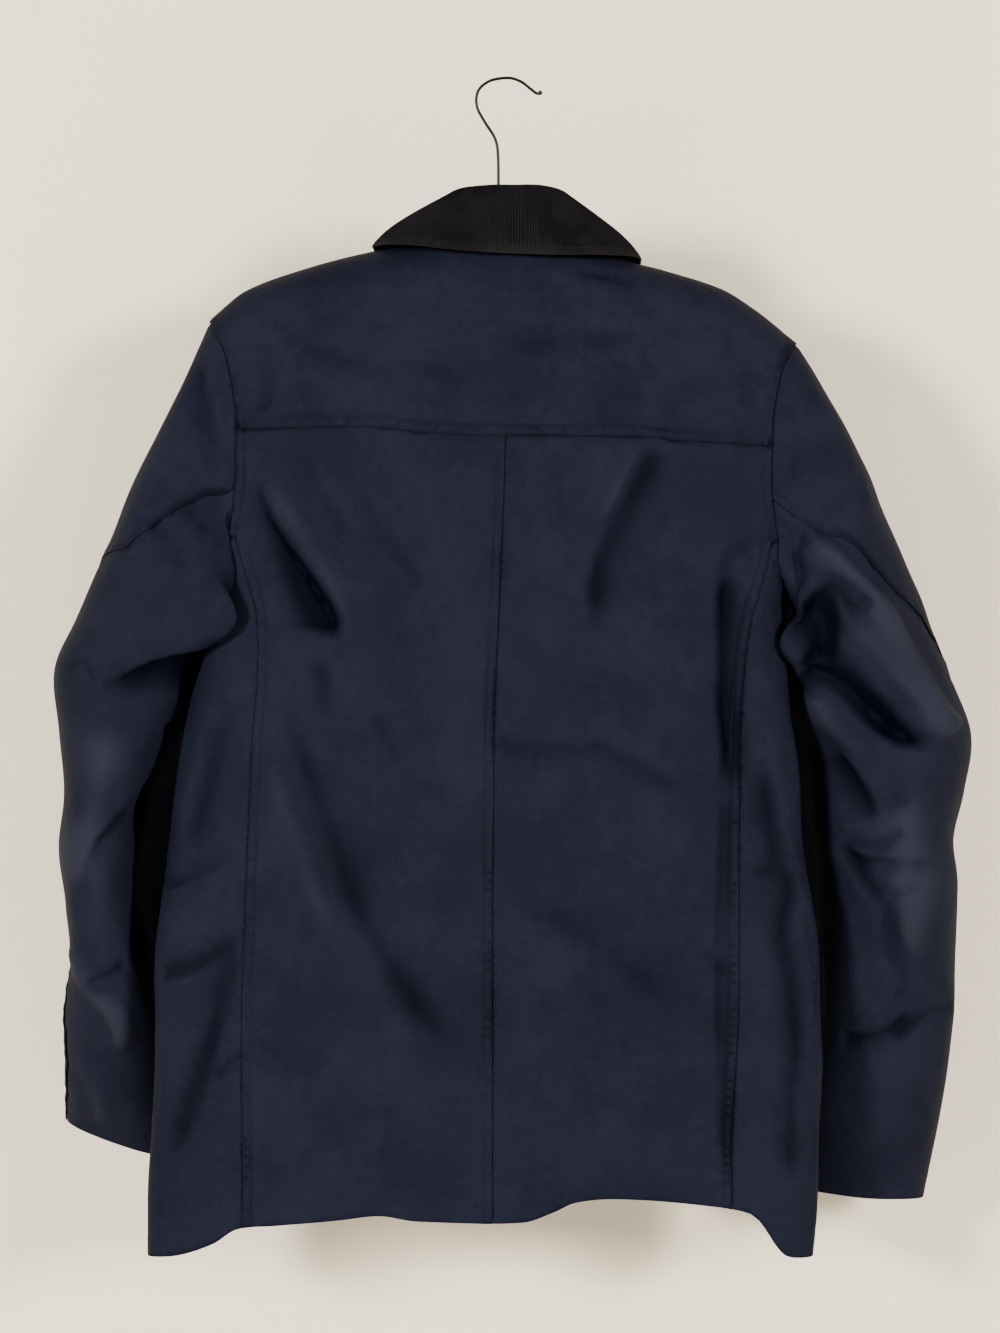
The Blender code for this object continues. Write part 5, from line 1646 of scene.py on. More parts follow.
# ---------------------------------------------------------------- collar
class CollarRib(NamedTuple):
    """The collar at an angle round the neck: its fold line and the fall's edge."""

    turn: float
    fold_x: float
    fold_y: float
    fold_z: float
    edge_x: float
    edge_y: float
    edge_z: float


@dataclass
class Collar:
    """The corduroy collar: a stand round the neck and the fall rolled over it."""

    trunk: Trunk
    ribs: tuple[CollarRib, ...] = table(CollarRib, (
        (-160, -24, 50, -156, -66, 61, -206), (-140, -38, 41, -138, -88, 52, -181),
        (-120, -50, 30, -121, -101, 42, -155), (-105, -56, 19, -109, -104, 19, -133),
        (-90, -57, 8, -100, -104, -4, -130), (-60, -40, -16, -89, -80, -34, -133),
        (-30, -18, -28, -87, -40, -39, -138), (0, 4, -31, -87, 0, -40, -141),
        (30, 26, -28, -87, 42, -39, -142), (60, 44, -16, -91, 80, -34, -141),
        (90, 57, 8, -104, 103, -4, -139), (105, 56, 19, -113, 104, 19, -143),
        (120, 50, 30, -125, 101, 42, -161), (140, 38, 41, -142, 88, 52, -185),
        (160, 24, 50, -158, 66, 61, -208)))
    roll_radius: float = 4.4
    roll_depth: float = 7.0
    swell: float = 5.0
    wall: float = 1.6
    stand_gap: float = 0.7
    neck_clear: float = 0.5
    foot_depth: float = 2.0
    neck_middle_y: float = 8.0
    wale: float = 1.45
    wale_steps: int = 4
    wale_fade: float = 1.5
    relief: float = 0.34
    wear: float = 0.3
    wear_seed: int = 31
    half_turn: float = 160.0
    roll_end: float = 45.0
    roll_steps: int = 8
    lift: float = 0.6
    wave: float = 0.9
    wave_length: float = 17.0
    wave_start: float = 0.8
    row_cover: float = 1.8
    stand_cover: float = 9.0
    stitch_above: float = 0.45
    fall_rows: int = 15
    stand_rows: int = 8
    topstitch: float = 5.5

    def __post_init__(self) -> None:
        """Make the curves of the ribs and lay out the collar's columns."""
        rough = np.linspace(-self.half_turn, self.half_turn, 641)
        ways = ways_along((self._line("edge", rough) + self._line("fold", rough)) / 2)
        wales = round(ways[-1] / self.wale)
        self.turn = np.interp(np.linspace(0, ways[-1], wales * self.wale_steps + 1), ways, rough)
        self.width = float(ways[-1])
        self.fold, self.edge = self._line("fold", self.turn), self._line("edge", self.turn)
        self.out = unit((self.edge - self.fold) * np.array([1.0, 1.0, 0.0]))
        self.up = np.array([0.0, 0.0, 1.0])
        self.inner = self.fold - self.out * self.roll_radius - self.up * self.roll_depth

    def _line(self, name: str, turn: Array) -> Array:
        """Points of the fold line or the fall's edge at angles round the neck."""
        return rows_of(*(column(self.ribs, "turn", f"{name}_{axis}")(turn) for axis in "xyz"))

    def _grid(self, name: str, columns: Array, outward: float, material: Material,
              covered: Array) -> Object:
        """A corduroy piece from columns of points, with its wales raised.

        Args:
            name: The CAD node that it stands for.
            columns: Points as (column, row, xyz).
            outward: 1 or -1, the side of the grid that faces out.
            material: Its finish.
            covered: How far from its edges each point is, for the wales to die out there.

        Returns:
            The object.
        """
        wide, tall = columns.shape[:2]
        along, up = np.gradient(columns, axis=0), np.gradient(columns, axis=1)
        normal = unit(np.cross(along, up)) * outward
        number = np.arange(wide)
        profile = 0.5 - 0.5 * np.cos(2 * math.pi * number / self.wale_steps)
        draw = np.random.default_rng(self.wear_seed)
        worn = draw.random((wide // self.wale_steps + 1))[number // self.wale_steps]
        worn = 1 - self.wear * worn
        raised = (profile * worn)[:, None] * self.relief * ease(covered / self.wale_fade)
        outer = (columns + normal * raised[..., None]).reshape(-1, 3)
        inner = (columns - normal * self.wall).reshape(-1, 3)
        first = (np.arange(wide - 1)[:, None] * tall + np.arange(tall - 1)).ravel()
        quads = rows_of(first, first + tall, first + tall + 1, first + 1)[:, ::int(outward)]
        faces = np.vstack([quads[:, [0, 1, 2]], quads[:, [0, 2, 3]]])
        ways = np.zeros((wide, tall))
        ways[:, 1:] = np.cumsum(np.linalg.norm(np.diff(columns, axis=1), axis=2), axis=1)
        self.flat_height = float(ways.max())
        flat = rows_of(number[:, None] * self.width / (wide - 1), ways).reshape(-1, 2)
        self.cloth_area = float(np.linalg.norm(np.cross(along, up), axis=2).sum())
        piece = closed_cloth(name, outer, inner, faces, flat, {"seam": covered.ravel()}, material)
        wale = piece.data.attributes.new("wale", "FLOAT", "POINT")
        height = np.broadcast_to(profile[:, None], (wide, tall)).ravel()
        wale.data.foreach_set("value", np.concatenate([height, height * 0 + 0.5]))
        return piece

    def fall_surface(self, part: Array) -> Array:
        """Points of the fall at shares of the way from its roll to its edge, as (column, row).

        Args:
            part: The shares.

        Returns:
            The points.
        """
        swing = math.radians(self.roll_end)
        start = (self.fold + self.out * self.roll_radius * math.cos(swing)
                 + self.up * self.roll_radius * (math.sin(swing) - 1))
        swell = self.swell * np.sin(math.pi * part)[None, :, None]
        wave = self.wave * np.sin(self.turn / self.wave_length + self.wave_start)
        wave = wave[:, None, None] * part[None, :, None] ** 2
        line = (start[:, None] * (1 - part)[None, :, None]
                + self.edge[:, None] * part[None, :, None])
        return line + (self.out + self.up * self.lift)[:, None] * swell + self.out[:, None] * wave

    def make_fall(self, material: Material) -> Object:
        """The fall, rolled over the fold line.

        Args:
            material: Its material.

        Returns:
            The piece.
        """
        swings = np.radians(np.linspace(180, self.roll_end, self.roll_steps)[:-1])
        roll = (self.fold[:, None]
                + self.out[:, None] * (self.roll_radius * np.cos(swings))[:, None]
                + self.up * (self.roll_radius * (np.sin(swings) - 1))[:, None])
        columns = np.concatenate([self.inner[:, None], roll,
                                  self.fall_surface(np.linspace(0, 1, self.fall_rows))], axis=1)
        tall = columns.shape[1]
        away = np.minimum(np.arange(len(self.turn)), np.arange(len(self.turn))[::-1])
        down = np.minimum(np.arange(tall), np.arange(tall)[::-1] + 0.0)
        covered = np.minimum((away * self.width / len(self.turn))[:, None],
                             down[None, :] * self.row_cover)
        return self._grid("collar_fall", columns, -1.0, material, covered)

    def make_stand(self, material: Material) -> Object:
        """The stand, from the neckline up into the roll.

        Args:
            material: Its material.

        Returns:
            The piece.
        """
        trunk = self.trunk
        neck = np.vstack([trunk.necks[Side.LEFT].points[-4:0:-1],
                          trunk.form.yoke_base(trunk.neck_flat),
                          trunk.necks[Side.RIGHT].points[1:-3]])
        ways = ways_along(neck)
        turns = -self.half_turn + 2 * self.half_turn * ways / ways[-1]
        foot = between(self.turn, turns, neck)
        centre = np.array([trunk.cut.neck_middle, self.neck_middle_y, 0.0])
        inward = unit((centre - foot) * np.array([1.0, 1.0, 0.0]))
        seat = foot + inward * self.neck_clear - self.up * self.foot_depth
        top = self.inner + self.out * self.wall - self.up * self.stand_gap
        part = np.linspace(0, 1, self.stand_rows)[None, :, None]
        columns = seat[:, None] * (1 - part) + top[:, None] * part
        covered = np.full(columns.shape[:2], self.stand_cover)
        covered[:, [0, -1]] = 0.0
        return self._grid("collar_stand", columns, 1.0, material, covered)

    def flat_size(self) -> tuple[float, float, float]:
        """Width, length and area in metres of the cut that was made last."""
        area = min(self.cloth_area, self.width * self.flat_height * PATTERN.full_area)
        return self.width * MM, self.flat_height * MM, area * MM * MM

    def stitch_lines(self) -> list[Array]:
        """The topstitching just above the fall's edge and beside its ends.

        Returns:
            The lines.
        """
        rows, ends, above = 60, 16, self.stitch_above
        surface = self.fall_surface(np.linspace(0, 1, rows))
        level = (1 - self.topstitch / np.linalg.norm(self.edge - self.fold, axis=1)) * (rows - 1)
        low = level.astype(int)
        number = np.arange(len(self.turn))
        start = surface[number, low]
        line = start + (surface[number, low + 1] - start) * (level - low)[:, None]
        lines = [(line + self.out * above)[ends:-ends]]
        for end in (number[ends], number[-ends - 1]):
            lines.append(surface[end, 4:low[end]] + self.out[end] * above)
        return lines


# ---------------------------------------------------------------- node trees
class NodeTree:
    """A node tree under construction."""

    tree: bpy.types.NodeTree

    def node(self, kind: str, inputs: dict | None = None, **settings: object) -> Node:
        """Add a node.

        Args:
            kind: Its type.
            inputs: Values or links of its sockets.
            settings: Its settings, set first.

        Returns:
            The node.
        """
        node = self.tree.nodes.new(kind)
        for name, value in settings.items():
            setattr(node, name, value)
        for key, value in (inputs or {}).items():
            value = getattr(value, "socket", value)
            if isinstance(value, Socket):
                self.tree.links.new(value, node.inputs[key])
            else:
                node.inputs[key].default_value = value
        return node


class StitchTree(NodeTree):
    """Geometry Nodes that sew thread along lines."""

    def __init__(self) -> None:
        """Build the tree with its named inputs."""
        self.tree = bpy.data.node_groups.new("topstitching", "GeometryNodeTree")
        for name, kind, way, value in (
                ("Lines", "Geometry", "INPUT", None), ("Pitch", "Float", "INPUT", 0.003),
                ("Length", "Float", "INPUT", 0.0024), ("Width", "Float", "INPUT", 0.0005),
                ("Seed", "Int", "INPUT", 5), ("Thread", "Material", "INPUT", None),
                ("Stitches", "Geometry", "OUTPUT", None)):
            socket = self.tree.interface.new_socket(name, in_out=way,
                                                    socket_type=f"NodeSocket{kind}")
            if value is not None:
                socket.default_value = value
        source = self.node("NodeGroupInput").outputs
        curve = self.node("GeometryNodeMeshToCurve", {"Mesh": source["Lines"]})
        spaced = self.node("GeometryNodeResampleCurve", {
            "Curve": curve.outputs[0], "Length": source["Pitch"]}, mode="LENGTH")
        tangent = self.node("GeometryNodeInputTangent")
        aim = self.node("FunctionNodeAlignRotationToVector", {"Vector": tangent.outputs[0]},
                        axis="Z")
        thread = self.node("GeometryNodeMeshUVSphere", {"Segments": 6, "Rings": 4, "Radius": 0.5})
        size = self.node("ShaderNodeCombineXYZ", {
            "X": source["Width"], "Y": source["Width"], "Z": source["Length"]})
        spread = self.node("FunctionNodeRandomValue", {2: 0.85, 3: 1.12, "Seed": source["Seed"]},
                           data_type="FLOAT")
        scaled = self.node("ShaderNodeVectorMath", {
            0: size.outputs[0], "Scale": spread.outputs[1]}, operation="SCALE")
        sewn = self.node("GeometryNodeInstanceOnPoints", {
            "Points": spaced.outputs[0], "Instance": thread.outputs[0],
            "Rotation": aim.outputs[0], "Scale": scaled.outputs[0]})
        real = self.node("GeometryNodeRealizeInstances", {"Geometry": sewn.outputs[0]})
        smooth = self.node("GeometryNodeSetShadeSmooth", {"Geometry": real.outputs[0]})
        dressed = self.node("GeometryNodeSetMaterial", {
            "Geometry": smooth.outputs[0], "Material": source["Thread"]})
        self.node("NodeGroupOutput", {0: dressed.outputs[0]})

    def sew(self, name: str, lines: Sequence[Array], thread: Material) -> Object:
        """Sew thread along lines and bake it to a plain mesh.

        Args:
            name: Name of the piece.
            lines: Points of each line, in millimetres.
            thread: The thread's finish.

        Returns:
            The stitches as one object.
        """
        edges, first = [], 0
        for line in lines:
            edges += [(first + i, first + i + 1) for i in range(len(line) - 1)]
            first += len(line)
        mesh = bpy.data.meshes.new(name)
        mesh.from_pydata((np.vstack(lines) * MM).tolist(), edges, [])
        piece = placed(name, mesh)
        sewing = piece.modifiers.new("sewing", "NODES")
        sewing.node_group = self.tree
        for item in self.tree.interface.items_tree:
            if item.name == "Thread":
                sewing[item.identifier] = thread
        evaluated = piece.evaluated_get(bpy.context.evaluated_depsgraph_get())
        baked = bpy.data.meshes.new_from_object(evaluated)
        piece.modifiers.clear()
        piece.data = baked
        baked.name = name
        return piece


# ---------------------------------------------------------------- closure, pockets, hanger
def strip_edges(across: Array, heights: Array, form: Callable[[Array], Array],
                pucker: tuple[float, float, int], rows: Sequence[tuple]) -> list[Edge]:
    """The four edges of a rectangle of cloth that lies on another piece.

    Args:
        across: Flat places across it.
        heights: Heights down it.
        form: What a flat place becomes.
        pucker: Height, wave and first seed of its puckers.
        rows: Stitch rows of its top, far, bottom and near edge.

    Returns:
        The edges in order round it.
    """
    height, wave, seed = pucker
    runs = (rows_of(across, heights[0]), rows_of(across[-1], heights),
            rows_of(across[::-1], heights[-1]), rows_of(across[0], heights[::-1]))
    return [Edge(run, SeamRole.EDGE, SeamLine(form(run), height, wave, seed=seed + i), row)
            for i, (run, row) in enumerate(zip(runs, rows))]


@dataclass
class Closure:
    """The placket over the centre front and its press studs."""

    trunk: Trunk
    half: float = 24.0
    top: float = -222.0
    bottom: float = -870.0
    lift: float = 2.8
    wall: float = 1.9
    stitch_in: float = 4.0
    stud_heights: tuple[float, ...] = (-250.0, -390.0, -530.0, -670.0, -810.0)
    stud_lift: float = 3.3
    stud_profile: tuple[tuple[float, float], ...] = (
        (0.0, 2.55), (2.6, 2.5), (4.6, 2.25), (5.7, 1.8), (6.1, 1.75), (6.7, 2.2), (7.2, 2.05),
        (7.5, 1.5), (7.5, 0.6), (7.2, 0.2), (0.0, 0.0))

    def placket(self) -> ClothPiece:
        """The strip over the centre front.

        Returns:
            The piece.
        """
        form = self.trunk.form

        def strip(flat: Array) -> Array:
            """Points of the form, whose way round starts at the centre front here."""
            around = np.where(flat[:, 0] >= 0, form.half - flat[:, 0], -form.half - flat[:, 0])
            return form.base(np.stack([around, flat[:, 1]], axis=1))

        sewn = (self.stitch_in,)
        edges = strip_edges(steps(-self.half, self.half, 4.0), steps(self.top, self.bottom, 4.0),
                            strip, (0.5, 17, 40), ((), sewn, (), sewn))
        return ClothPiece("front_placket", edges, strip, self.trunk.folds, 4.0,
                          (edges[1].seam, edges[3].seam), self.wall, self.lift, -1.0)

    def studs(self, metal: Material) -> list[Object]:
        """The press studs, turned from their profile.

        Args:
            metal: Their material.

        Returns:
            The studs.
        """
        made = []
        radius, height = np.array(self.stud_profile).T
        for number, z in enumerate(self.stud_heights, start=1):
            flat = np.array([[self.trunk.form.half, z]])
            base = self.trunk.form.base(flat)
            axis = facing(self.trunk.form.base, flat)[0]
            seat = base[0] + axis * (self.stud_lift - float(self.trunk.folds(flat, base)[0]))
            across = unit(np.cross(axis, [0.0, 0.0, 1.0]))
            middles = seat + axis * height[:, None]
            made.append(tube(f"stud_{number}", middles, across, np.cross(across, axis), radius,
                             36, metal))
        return made


def tube(name: str, middles: Array, across: Array, up: Array, radius: Array, count: int,
         material: Material) -> Object:
    """A round piece through rings, closed to a point at both ends.

    Args:
        name: Name of the piece.
        middles: The middle of each ring, with the two end points.
        across: First direction square to its axis, one for all rings or for each.
        up: Second direction square to its axis.
        radius: The radius at each middle.
        count: Places round a ring.
        material: Its finish.

    Returns:
        The object, its faces turned outwards.
    """
    turn = (np.arange(count) * 2 * math.pi / count)[:, None, None]
    ring = (np.cos(turn) * across + np.sin(turn) * up).swapaxes(0, 1)
    rings = (middles[:, None] + ring * radius[:, None, None])[1:-1]
    here = np.arange(rings.shape[0] * count).reshape(-1, count)
    after = np.roll(here, -1, axis=1)
    faces = np.stack([here[:-1], after[:-1], after[1:], here[1:]], axis=-1).reshape(-1, 4).tolist()
    for end, row, way in ((here.size, 0, -1), (here.size + 1, -1, 1)):
        faces += [(*pair[::way], end) for pair in zip(here[row].tolist(), after[row].tolist())]
    points = np.vstack([rings.reshape(-1, 3), middles[:1], middles[-1:]])
    piece = smoothed(name, points, faces, 50, material)
    corners = points[np.array([face[:3] for face in faces])]
    if (corners[:, 0] * np.cross(corners[:, 1], corners[:, 2])).sum() < 0:
        piece.data.flip_normals()
    return piece


@dataclass
class Pockets:
    """Patch pockets with flaps on both fronts."""

    trunk: Trunk
    top: float = -684.0
    bottom: float = -856.0
    flap_bottom: float = -736.0
    width: float = 168.0
    from_edge: dict[Side, float] = by_side(34.0, 6.0)
    lift: float = 2.6
    wall: float = 1.9
    net: float = 5.0
    row: float = 3.0

    def pieces(self) -> list[ClothPiece]:
        """Both pockets and both flaps, each from the pocket's top down.

        Returns:
            The pieces.
        """
        form, made = self.trunk.form, []
        for side in Side:
            near = side.value * (form.quarter + self.from_edge[side])
            across = steps(near, near + side.value * self.width, 4.0)
            for name, low, lift, seed in (("pocket", self.bottom, self.lift, 50),
                                          ("pocket_flap", self.flap_bottom, 2 * self.lift, 60)):
                edges = strip_edges(across, steps(self.top, low, 4.0), form.base, (0.3, 16, seed),
                                    ((self.row,),) * 4)
                made.append(ClothPiece(f"{name}_{side.word}", edges, form.base,
                                       self.trunk.folds, self.net,
                                       [edge.seam for edge in edges], self.wall, lift))
        return made


@dataclass
class Hanger:
    """The hanger's wire hook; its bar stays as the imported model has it."""

    wire_radius: float = 1.2
    ball_radius: float = 1.9
    route: tuple[tuple[float, float], ...] = (
        (-7, -139), (-7, -119), (-7.2, -95), (-7.5, -60), (-10, -46), (-18, -33), (-24, -21),
        (-23, -9), (-14, -1.2), (0, 1.2), (10, -1.5), (18, -7.5), (23, -11), (27, -9.5))
    sides: int = 20
    step: float = 0.9
    tip: float = 0.15

    def hook(self, material: Material) -> Object:
        """The wire, bent to its hook and dipped at its end.

        Args:
            material: Its material.

        Returns:
            The piece.
        """
        line = rounded_line(self.route, 14)
        ways = ways_along(line)
        place = np.arange(0, ways[-1], self.step)
        x, z = between(place, ways, line).T
        points = rows_of(x, 0.0, z)
        left = ways[-1] - place
        ball = np.sqrt(np.maximum(1 - ((left - self.ball_radius) / self.ball_radius) ** 2, 0.0))
        thin = np.where(left > self.ball_radius, self.wire_radius, self.tip)
        radius = np.where(left < 2 * self.ball_radius,
                          np.maximum(ball * self.ball_radius, thin), self.wire_radius)
        across = np.array([0.0, 1.0, 0.0])
        up = np.cross(unit(np.gradient(points, axis=0)), across)
        ends = [0, *range(len(points)), -1]
        return tube("wire_hook", points[ends], across, up[ends], radius[ends], self.sides,
                    material)


# ---------------------------------------------------------------- finishes
Input = Union[float, tuple, str, Socket, "Number"]


def operator(operation: str, swapped: bool = False) -> Callable:
    """Make a method of Number that adds one maths node.

    Args:
        operation: What the node does.
        swapped: Whether the number comes second, as in a reflected operator.

    Returns:
        The method.
    """

    def method(self: "Number", other: Input = 0.0) -> "Number":
        """The result of the number and another one."""
        pair = (other, self) if swapped else (self, other)
        return self.finish.number("ShaderNodeMath", dict(enumerate(pair)), operation=operation)

    return method


class Number:
    """A shader number that can be calculated with."""

    def __init__(self, finish: "Shading", socket: Socket) -> None:
        """Wrap a socket of a finish."""
        self.finish, self.socket = finish, socket

    __add__ = __radd__ = operator("ADD")
    __sub__, __rsub__ = operator("SUBTRACT"), operator("SUBTRACT", swapped=True)
    __mul__ = __rmul__ = operator("MULTIPLY")
    __truediv__, __rtruediv__ = operator("DIVIDE"), operator("DIVIDE", swapped=True)
    __pow__ = operator("POWER")
    sine = operator("SINE")

    def faded(self, low: float, high: float) -> "Number":
        """0 at `low`, 1 at `high`, smooth between them and level beyond."""
        return self.finish.number("ShaderNodeMapRange", {
            "Value": self, "From Min": low, "From Max": high}, interpolation_type="SMOOTHSTEP")


class Shading(NodeTree):
    """A material under construction."""

    def __init__(self, name: str) -> None:
        """Start a material with an empty tree.

        Args:
            name: The material's name.
        """
        self.material = bpy.data.materials.new(name)
        self.material.use_nodes = True
        self.tree = self.material.node_tree
        self.tree.nodes.clear()

    def number(self, kind: str, inputs: dict | None = None, output: Union[int, str] = 0,
               **settings: object) -> Number:
        """Add a node and wrap one output of it."""
        return Number(self, self.node(kind, inputs, **settings).outputs[output])

    def attribute(self, name: str) -> Number:
        """A number stored on the mesh."""
        return self.number("ShaderNodeAttribute", output="Fac", attribute_name=name)

    def noise(self, scale: float, detail: float = 3.0, roughness: float = 0.55,
              vector: Input | None = None) -> Number:
        """Noise in object space, `scale` to the metre.

        Args:
            scale: Its scale.
            detail: Its octaves.
            roughness: How rough they are.
            vector: Where it is read, if not at the place itself.

        Returns:
            The noise.
        """
        place = vector or self.node("ShaderNodeTexCoord").outputs["Object"]
        return self.number("ShaderNodeTexNoise", {
            "Vector": place, "Scale": scale, "Detail": detail, "Roughness": roughness}, "Fac")

    def colour(self, low: Union[tuple, Socket], high: tuple, share: Number) -> Socket:
        """A colour between two by a number, the first of them plain or a socket.

        Args:
            low: The colour at 0.
            high: The colour at 1.
            share: The number.

        Returns:
            The colour.
        """
        low = (*low, 1.0) if isinstance(low, tuple) else low
        return self.node("ShaderNodeMix", {"Factor": share, 6: low, 7: (*high, 1.0)},
                         data_type="RGBA").outputs[2]

    def bump(self, height: Number, distance: float, strength: float = 1.0,
             below: Socket | None = None) -> Socket:
        """A bumped normal, `distance` metres deep.

        Args:
            height: The height.
            distance: Its depth.
            strength: Its strength.
            below: A normal that it lies on.

        Returns:
            The normal.
        """
        inputs = {"Height": height, "Distance": distance, "Strength": strength}
        if below is not None:
            inputs["Normal"] = below
        return self.node("ShaderNodeBump", inputs).outputs[0]

    def surface(self, **inputs: Input) -> Material:
        """Close the material with a Principled shader, its sockets named with underscores.

        Args:
            inputs: Values or sockets by name.

        Returns:
            The material.
        """
        named = {name.replace("_", " "): value for name, value in inputs.items()}
        shader = self.node("ShaderNodeBsdfPrincipled", named)
        self.node("ShaderNodeOutputMaterial", {"Surface": shader.outputs[0]})
        return self.material


@dataclass(frozen=True)
class WaxedCotton:
    """Dark waxed cotton: a close weave under wax, mottled, rubbed paler at its seams, with painted
    shade in its folds, along seam edges and in stitch grooves, and painted highlight on fold
    ridges.
    """

    name: str = "waxed_cotton_cloth"
    deep: tuple[float, float, float] = (0.0051, 0.0060, 0.0134)
    pale: tuple[float, float, float] = (0.0083, 0.0094, 0.0198)
    # the paler colour of rubbed wax at the seams, also the colour of painted highlight on fold
    # ridges
    rubbed: tuple[float, float, float] = (0.0150, 0.0165, 0.0290)
    # the colour of painted shade in folds, along seam edges and in stitch grooves
    creased: tuple[float, float, float] = (0.0005, 0.0010, 0.0042)
    roughness: float = 0.68
    weave: float = 0.00062
    crumple: float = 0.0022

    def make(self) -> Material:
        """Build the material.

        Returns:
            The material.
        """
        shade = Shading(self.name)
        cut = shade.node("ShaderNodeUVMap", uv_map="cut").outputs[0]
        threads = shade.node("ShaderNodeSeparateXYZ", {0: cut})
        across = Number(shade, threads.outputs[0]) * (2 * math.pi / self.weave)
        along = Number(shade, threads.outputs[1]) * (2 * math.pi / self.weave)
        weave = across.sine() * along.sine()
        patches = shade.noise(16.0, 4.0, 0.6)
        fine = shade.noise(130.0, 3.0, 0.6)
        grain = shade.noise(520.0, 2.0, 0.6)
        mottle = (patches * 0.5 + fine * 0.27 + grain * 0.23).faded(0.38, 0.63)
        colour = shade.colour(self.deep, self.pale, mottle)
        seam = shade.attribute("seam")
        edge_wear = (1 - seam.faded(0.2, 2.2)) * (0.25 + fine * 0.9)
        colour = shade.colour(colour, self.rubbed, edge_wear)
        crease = shade.attribute("crease")
        # painted highlight: paler where the folds push the cloth out
        colour = shade.colour(colour, self.rubbed, (0 - crease).faded(0.5, 6.5) * 0.9)
        # painted shade: darker where the cloth lies deep in a fold, along seam edges and in stitch
        # grooves
        colour = shade.colour(colour, self.creased, crease.faded(0.3, 9.5) * 0.95)
        rough = self.roughness + (patches - 0.5) * 0.22 + (fine - 0.5) * 0.1
        soft = shade.noise(62.0, 3.0, 0.5)
        height = soft * 0.72 + fine * 0.2 + grain * 0.08
        normal = shade.bump(height, self.crumple, 0.7)
        normal = shade.bump(weave * 0.5 + 0.5, 0.00006, 0.6, normal)
        return shade.surface(Base_Color=colour, Roughness=rough, Normal=normal,
                             Specular_IOR_Level=0.03)


@dataclass(frozen=True)
class Corduroy:
    """Fine-waled corduroy, with painted shade in the grooves between its wales, painted sheen on
    the wales, paler and warmer, and rubbed paler at its edges.
    """

    name: str = "collar_corduroy"
    # groove is the colour of painted shade between the wales, wale the colour of painted sheen on
    # their tops
    groove: tuple[float, float, float] = (0.0014, 0.0013, 0.0020)
    wale: tuple[float, float, float] = (0.0095, 0.0086, 0.0112)
    rubbed: tuple[float, float, float] = (0.016, 0.0140, 0.0150)

    def make(self) -> Material:
        """Build the material.

        Returns:
            The material.
        """
        shade = Shading(self.name)
        height = shade.attribute("wale")
        fine = shade.noise(1400.0, 2.0, 0.6)
        patches = shade.noise(38.0, 3.0, 0.6)
        # painted shade in the grooves and painted sheen on the wale tops, following the wales'
        # height
        share = (height * 0.85 + fine * 0.25).faded(0.1, 1.0)
        colour = shade.colour(self.groove, self.wale, share)
        edge = (1 - shade.attribute("seam").faded(0.5, 3.5)) * patches
        colour = shade.colour(colour, self.rubbed, edge * 0.7)
        colour = shade.colour(colour, self.groove, patches.faded(0.42, 0.62) * 0.55)
        normal = shade.bump(fine * 0.6 + height * 0.4, 0.0003, 0.8)
        return shade.surface(Base_Color=colour, Roughness=0.92 - patches * 0.08, Normal=normal,
                             Specular_IOR_Level=0.03, Sheen_Weight=0.03, Sheen_Roughness=0.4)


@dataclass(frozen=True)
class Thread:
    """Sewing thread, a little darker than the cloth."""

    name: str = "thread"
    colour: tuple[float, float, float] = (0.0024, 0.0029, 0.0070)

    def make(self) -> Material:
        """Build the material.

        Returns:
            The material.
        """
        shade = Shading(self.name)
        fine = shade.noise(900.0, 2.0)
        light = tuple(1.7 * part for part in self.colour)
        return shade.surface(Base_Color=shade.colour(self.colour, light, fine),
                             Roughness=0.6 + fine * 0.1, Normal=shade.bump(fine, 0.0001, 0.5),
                             Specular_IOR_Level=0.2)


@dataclass(frozen=True)
class Metal:
    """A metal with a worn polish."""

    name: str
    colour: tuple[float, float, float]
    roughness: float
    scratch: float

    def make(self) -> Material:
        """Build the material.

        Returns:
            The material.
        """
        shade = Shading(self.name)
        patches = shade.noise(260.0, 3.0)
        fine = shade.noise(2400.0, 2.0)
        dark = tuple(0.8 * part for part in self.colour)
        return shade.surface(Base_Color=shade.colour(dark, self.colour, patches.faded(0.3, 0.6)),
                             Roughness=self.roughness + patches * 0.14, Metallic=1.0,
                             Normal=shade.bump(fine, self.scratch, 0.4))


@dataclass(frozen=True)
class DarkWood:
    """Stained wood with its grain along the bar."""

    name: str = "hanger_wood"
    dark: tuple[float, float, float] = (0.020, 0.011, 0.006)
    pale: tuple[float, float, float] = (0.075, 0.042, 0.022)

    def make(self) -> Material:
        """Build the material.

        Returns:
            The material.
        """
        shade = Shading(self.name)
        place = shade.node("ShaderNodeTexCoord").outputs["Object"]
        drawn = shade.node("ShaderNodeMapping", {"Vector": place, "Scale": (9.0, 140.0, 140.0)})
        grain = shade.noise(1.0, 5.0, 0.6, drawn.outputs[0])
        return shade.surface(Base_Color=shade.colour(self.dark, self.pale, grain.faded(0.3, 0.7)),
                             Roughness=0.42 + grain * 0.15, Normal=shade.bump(grain, 0.0003, 0.4),
                             Coat_Weight=0.2)


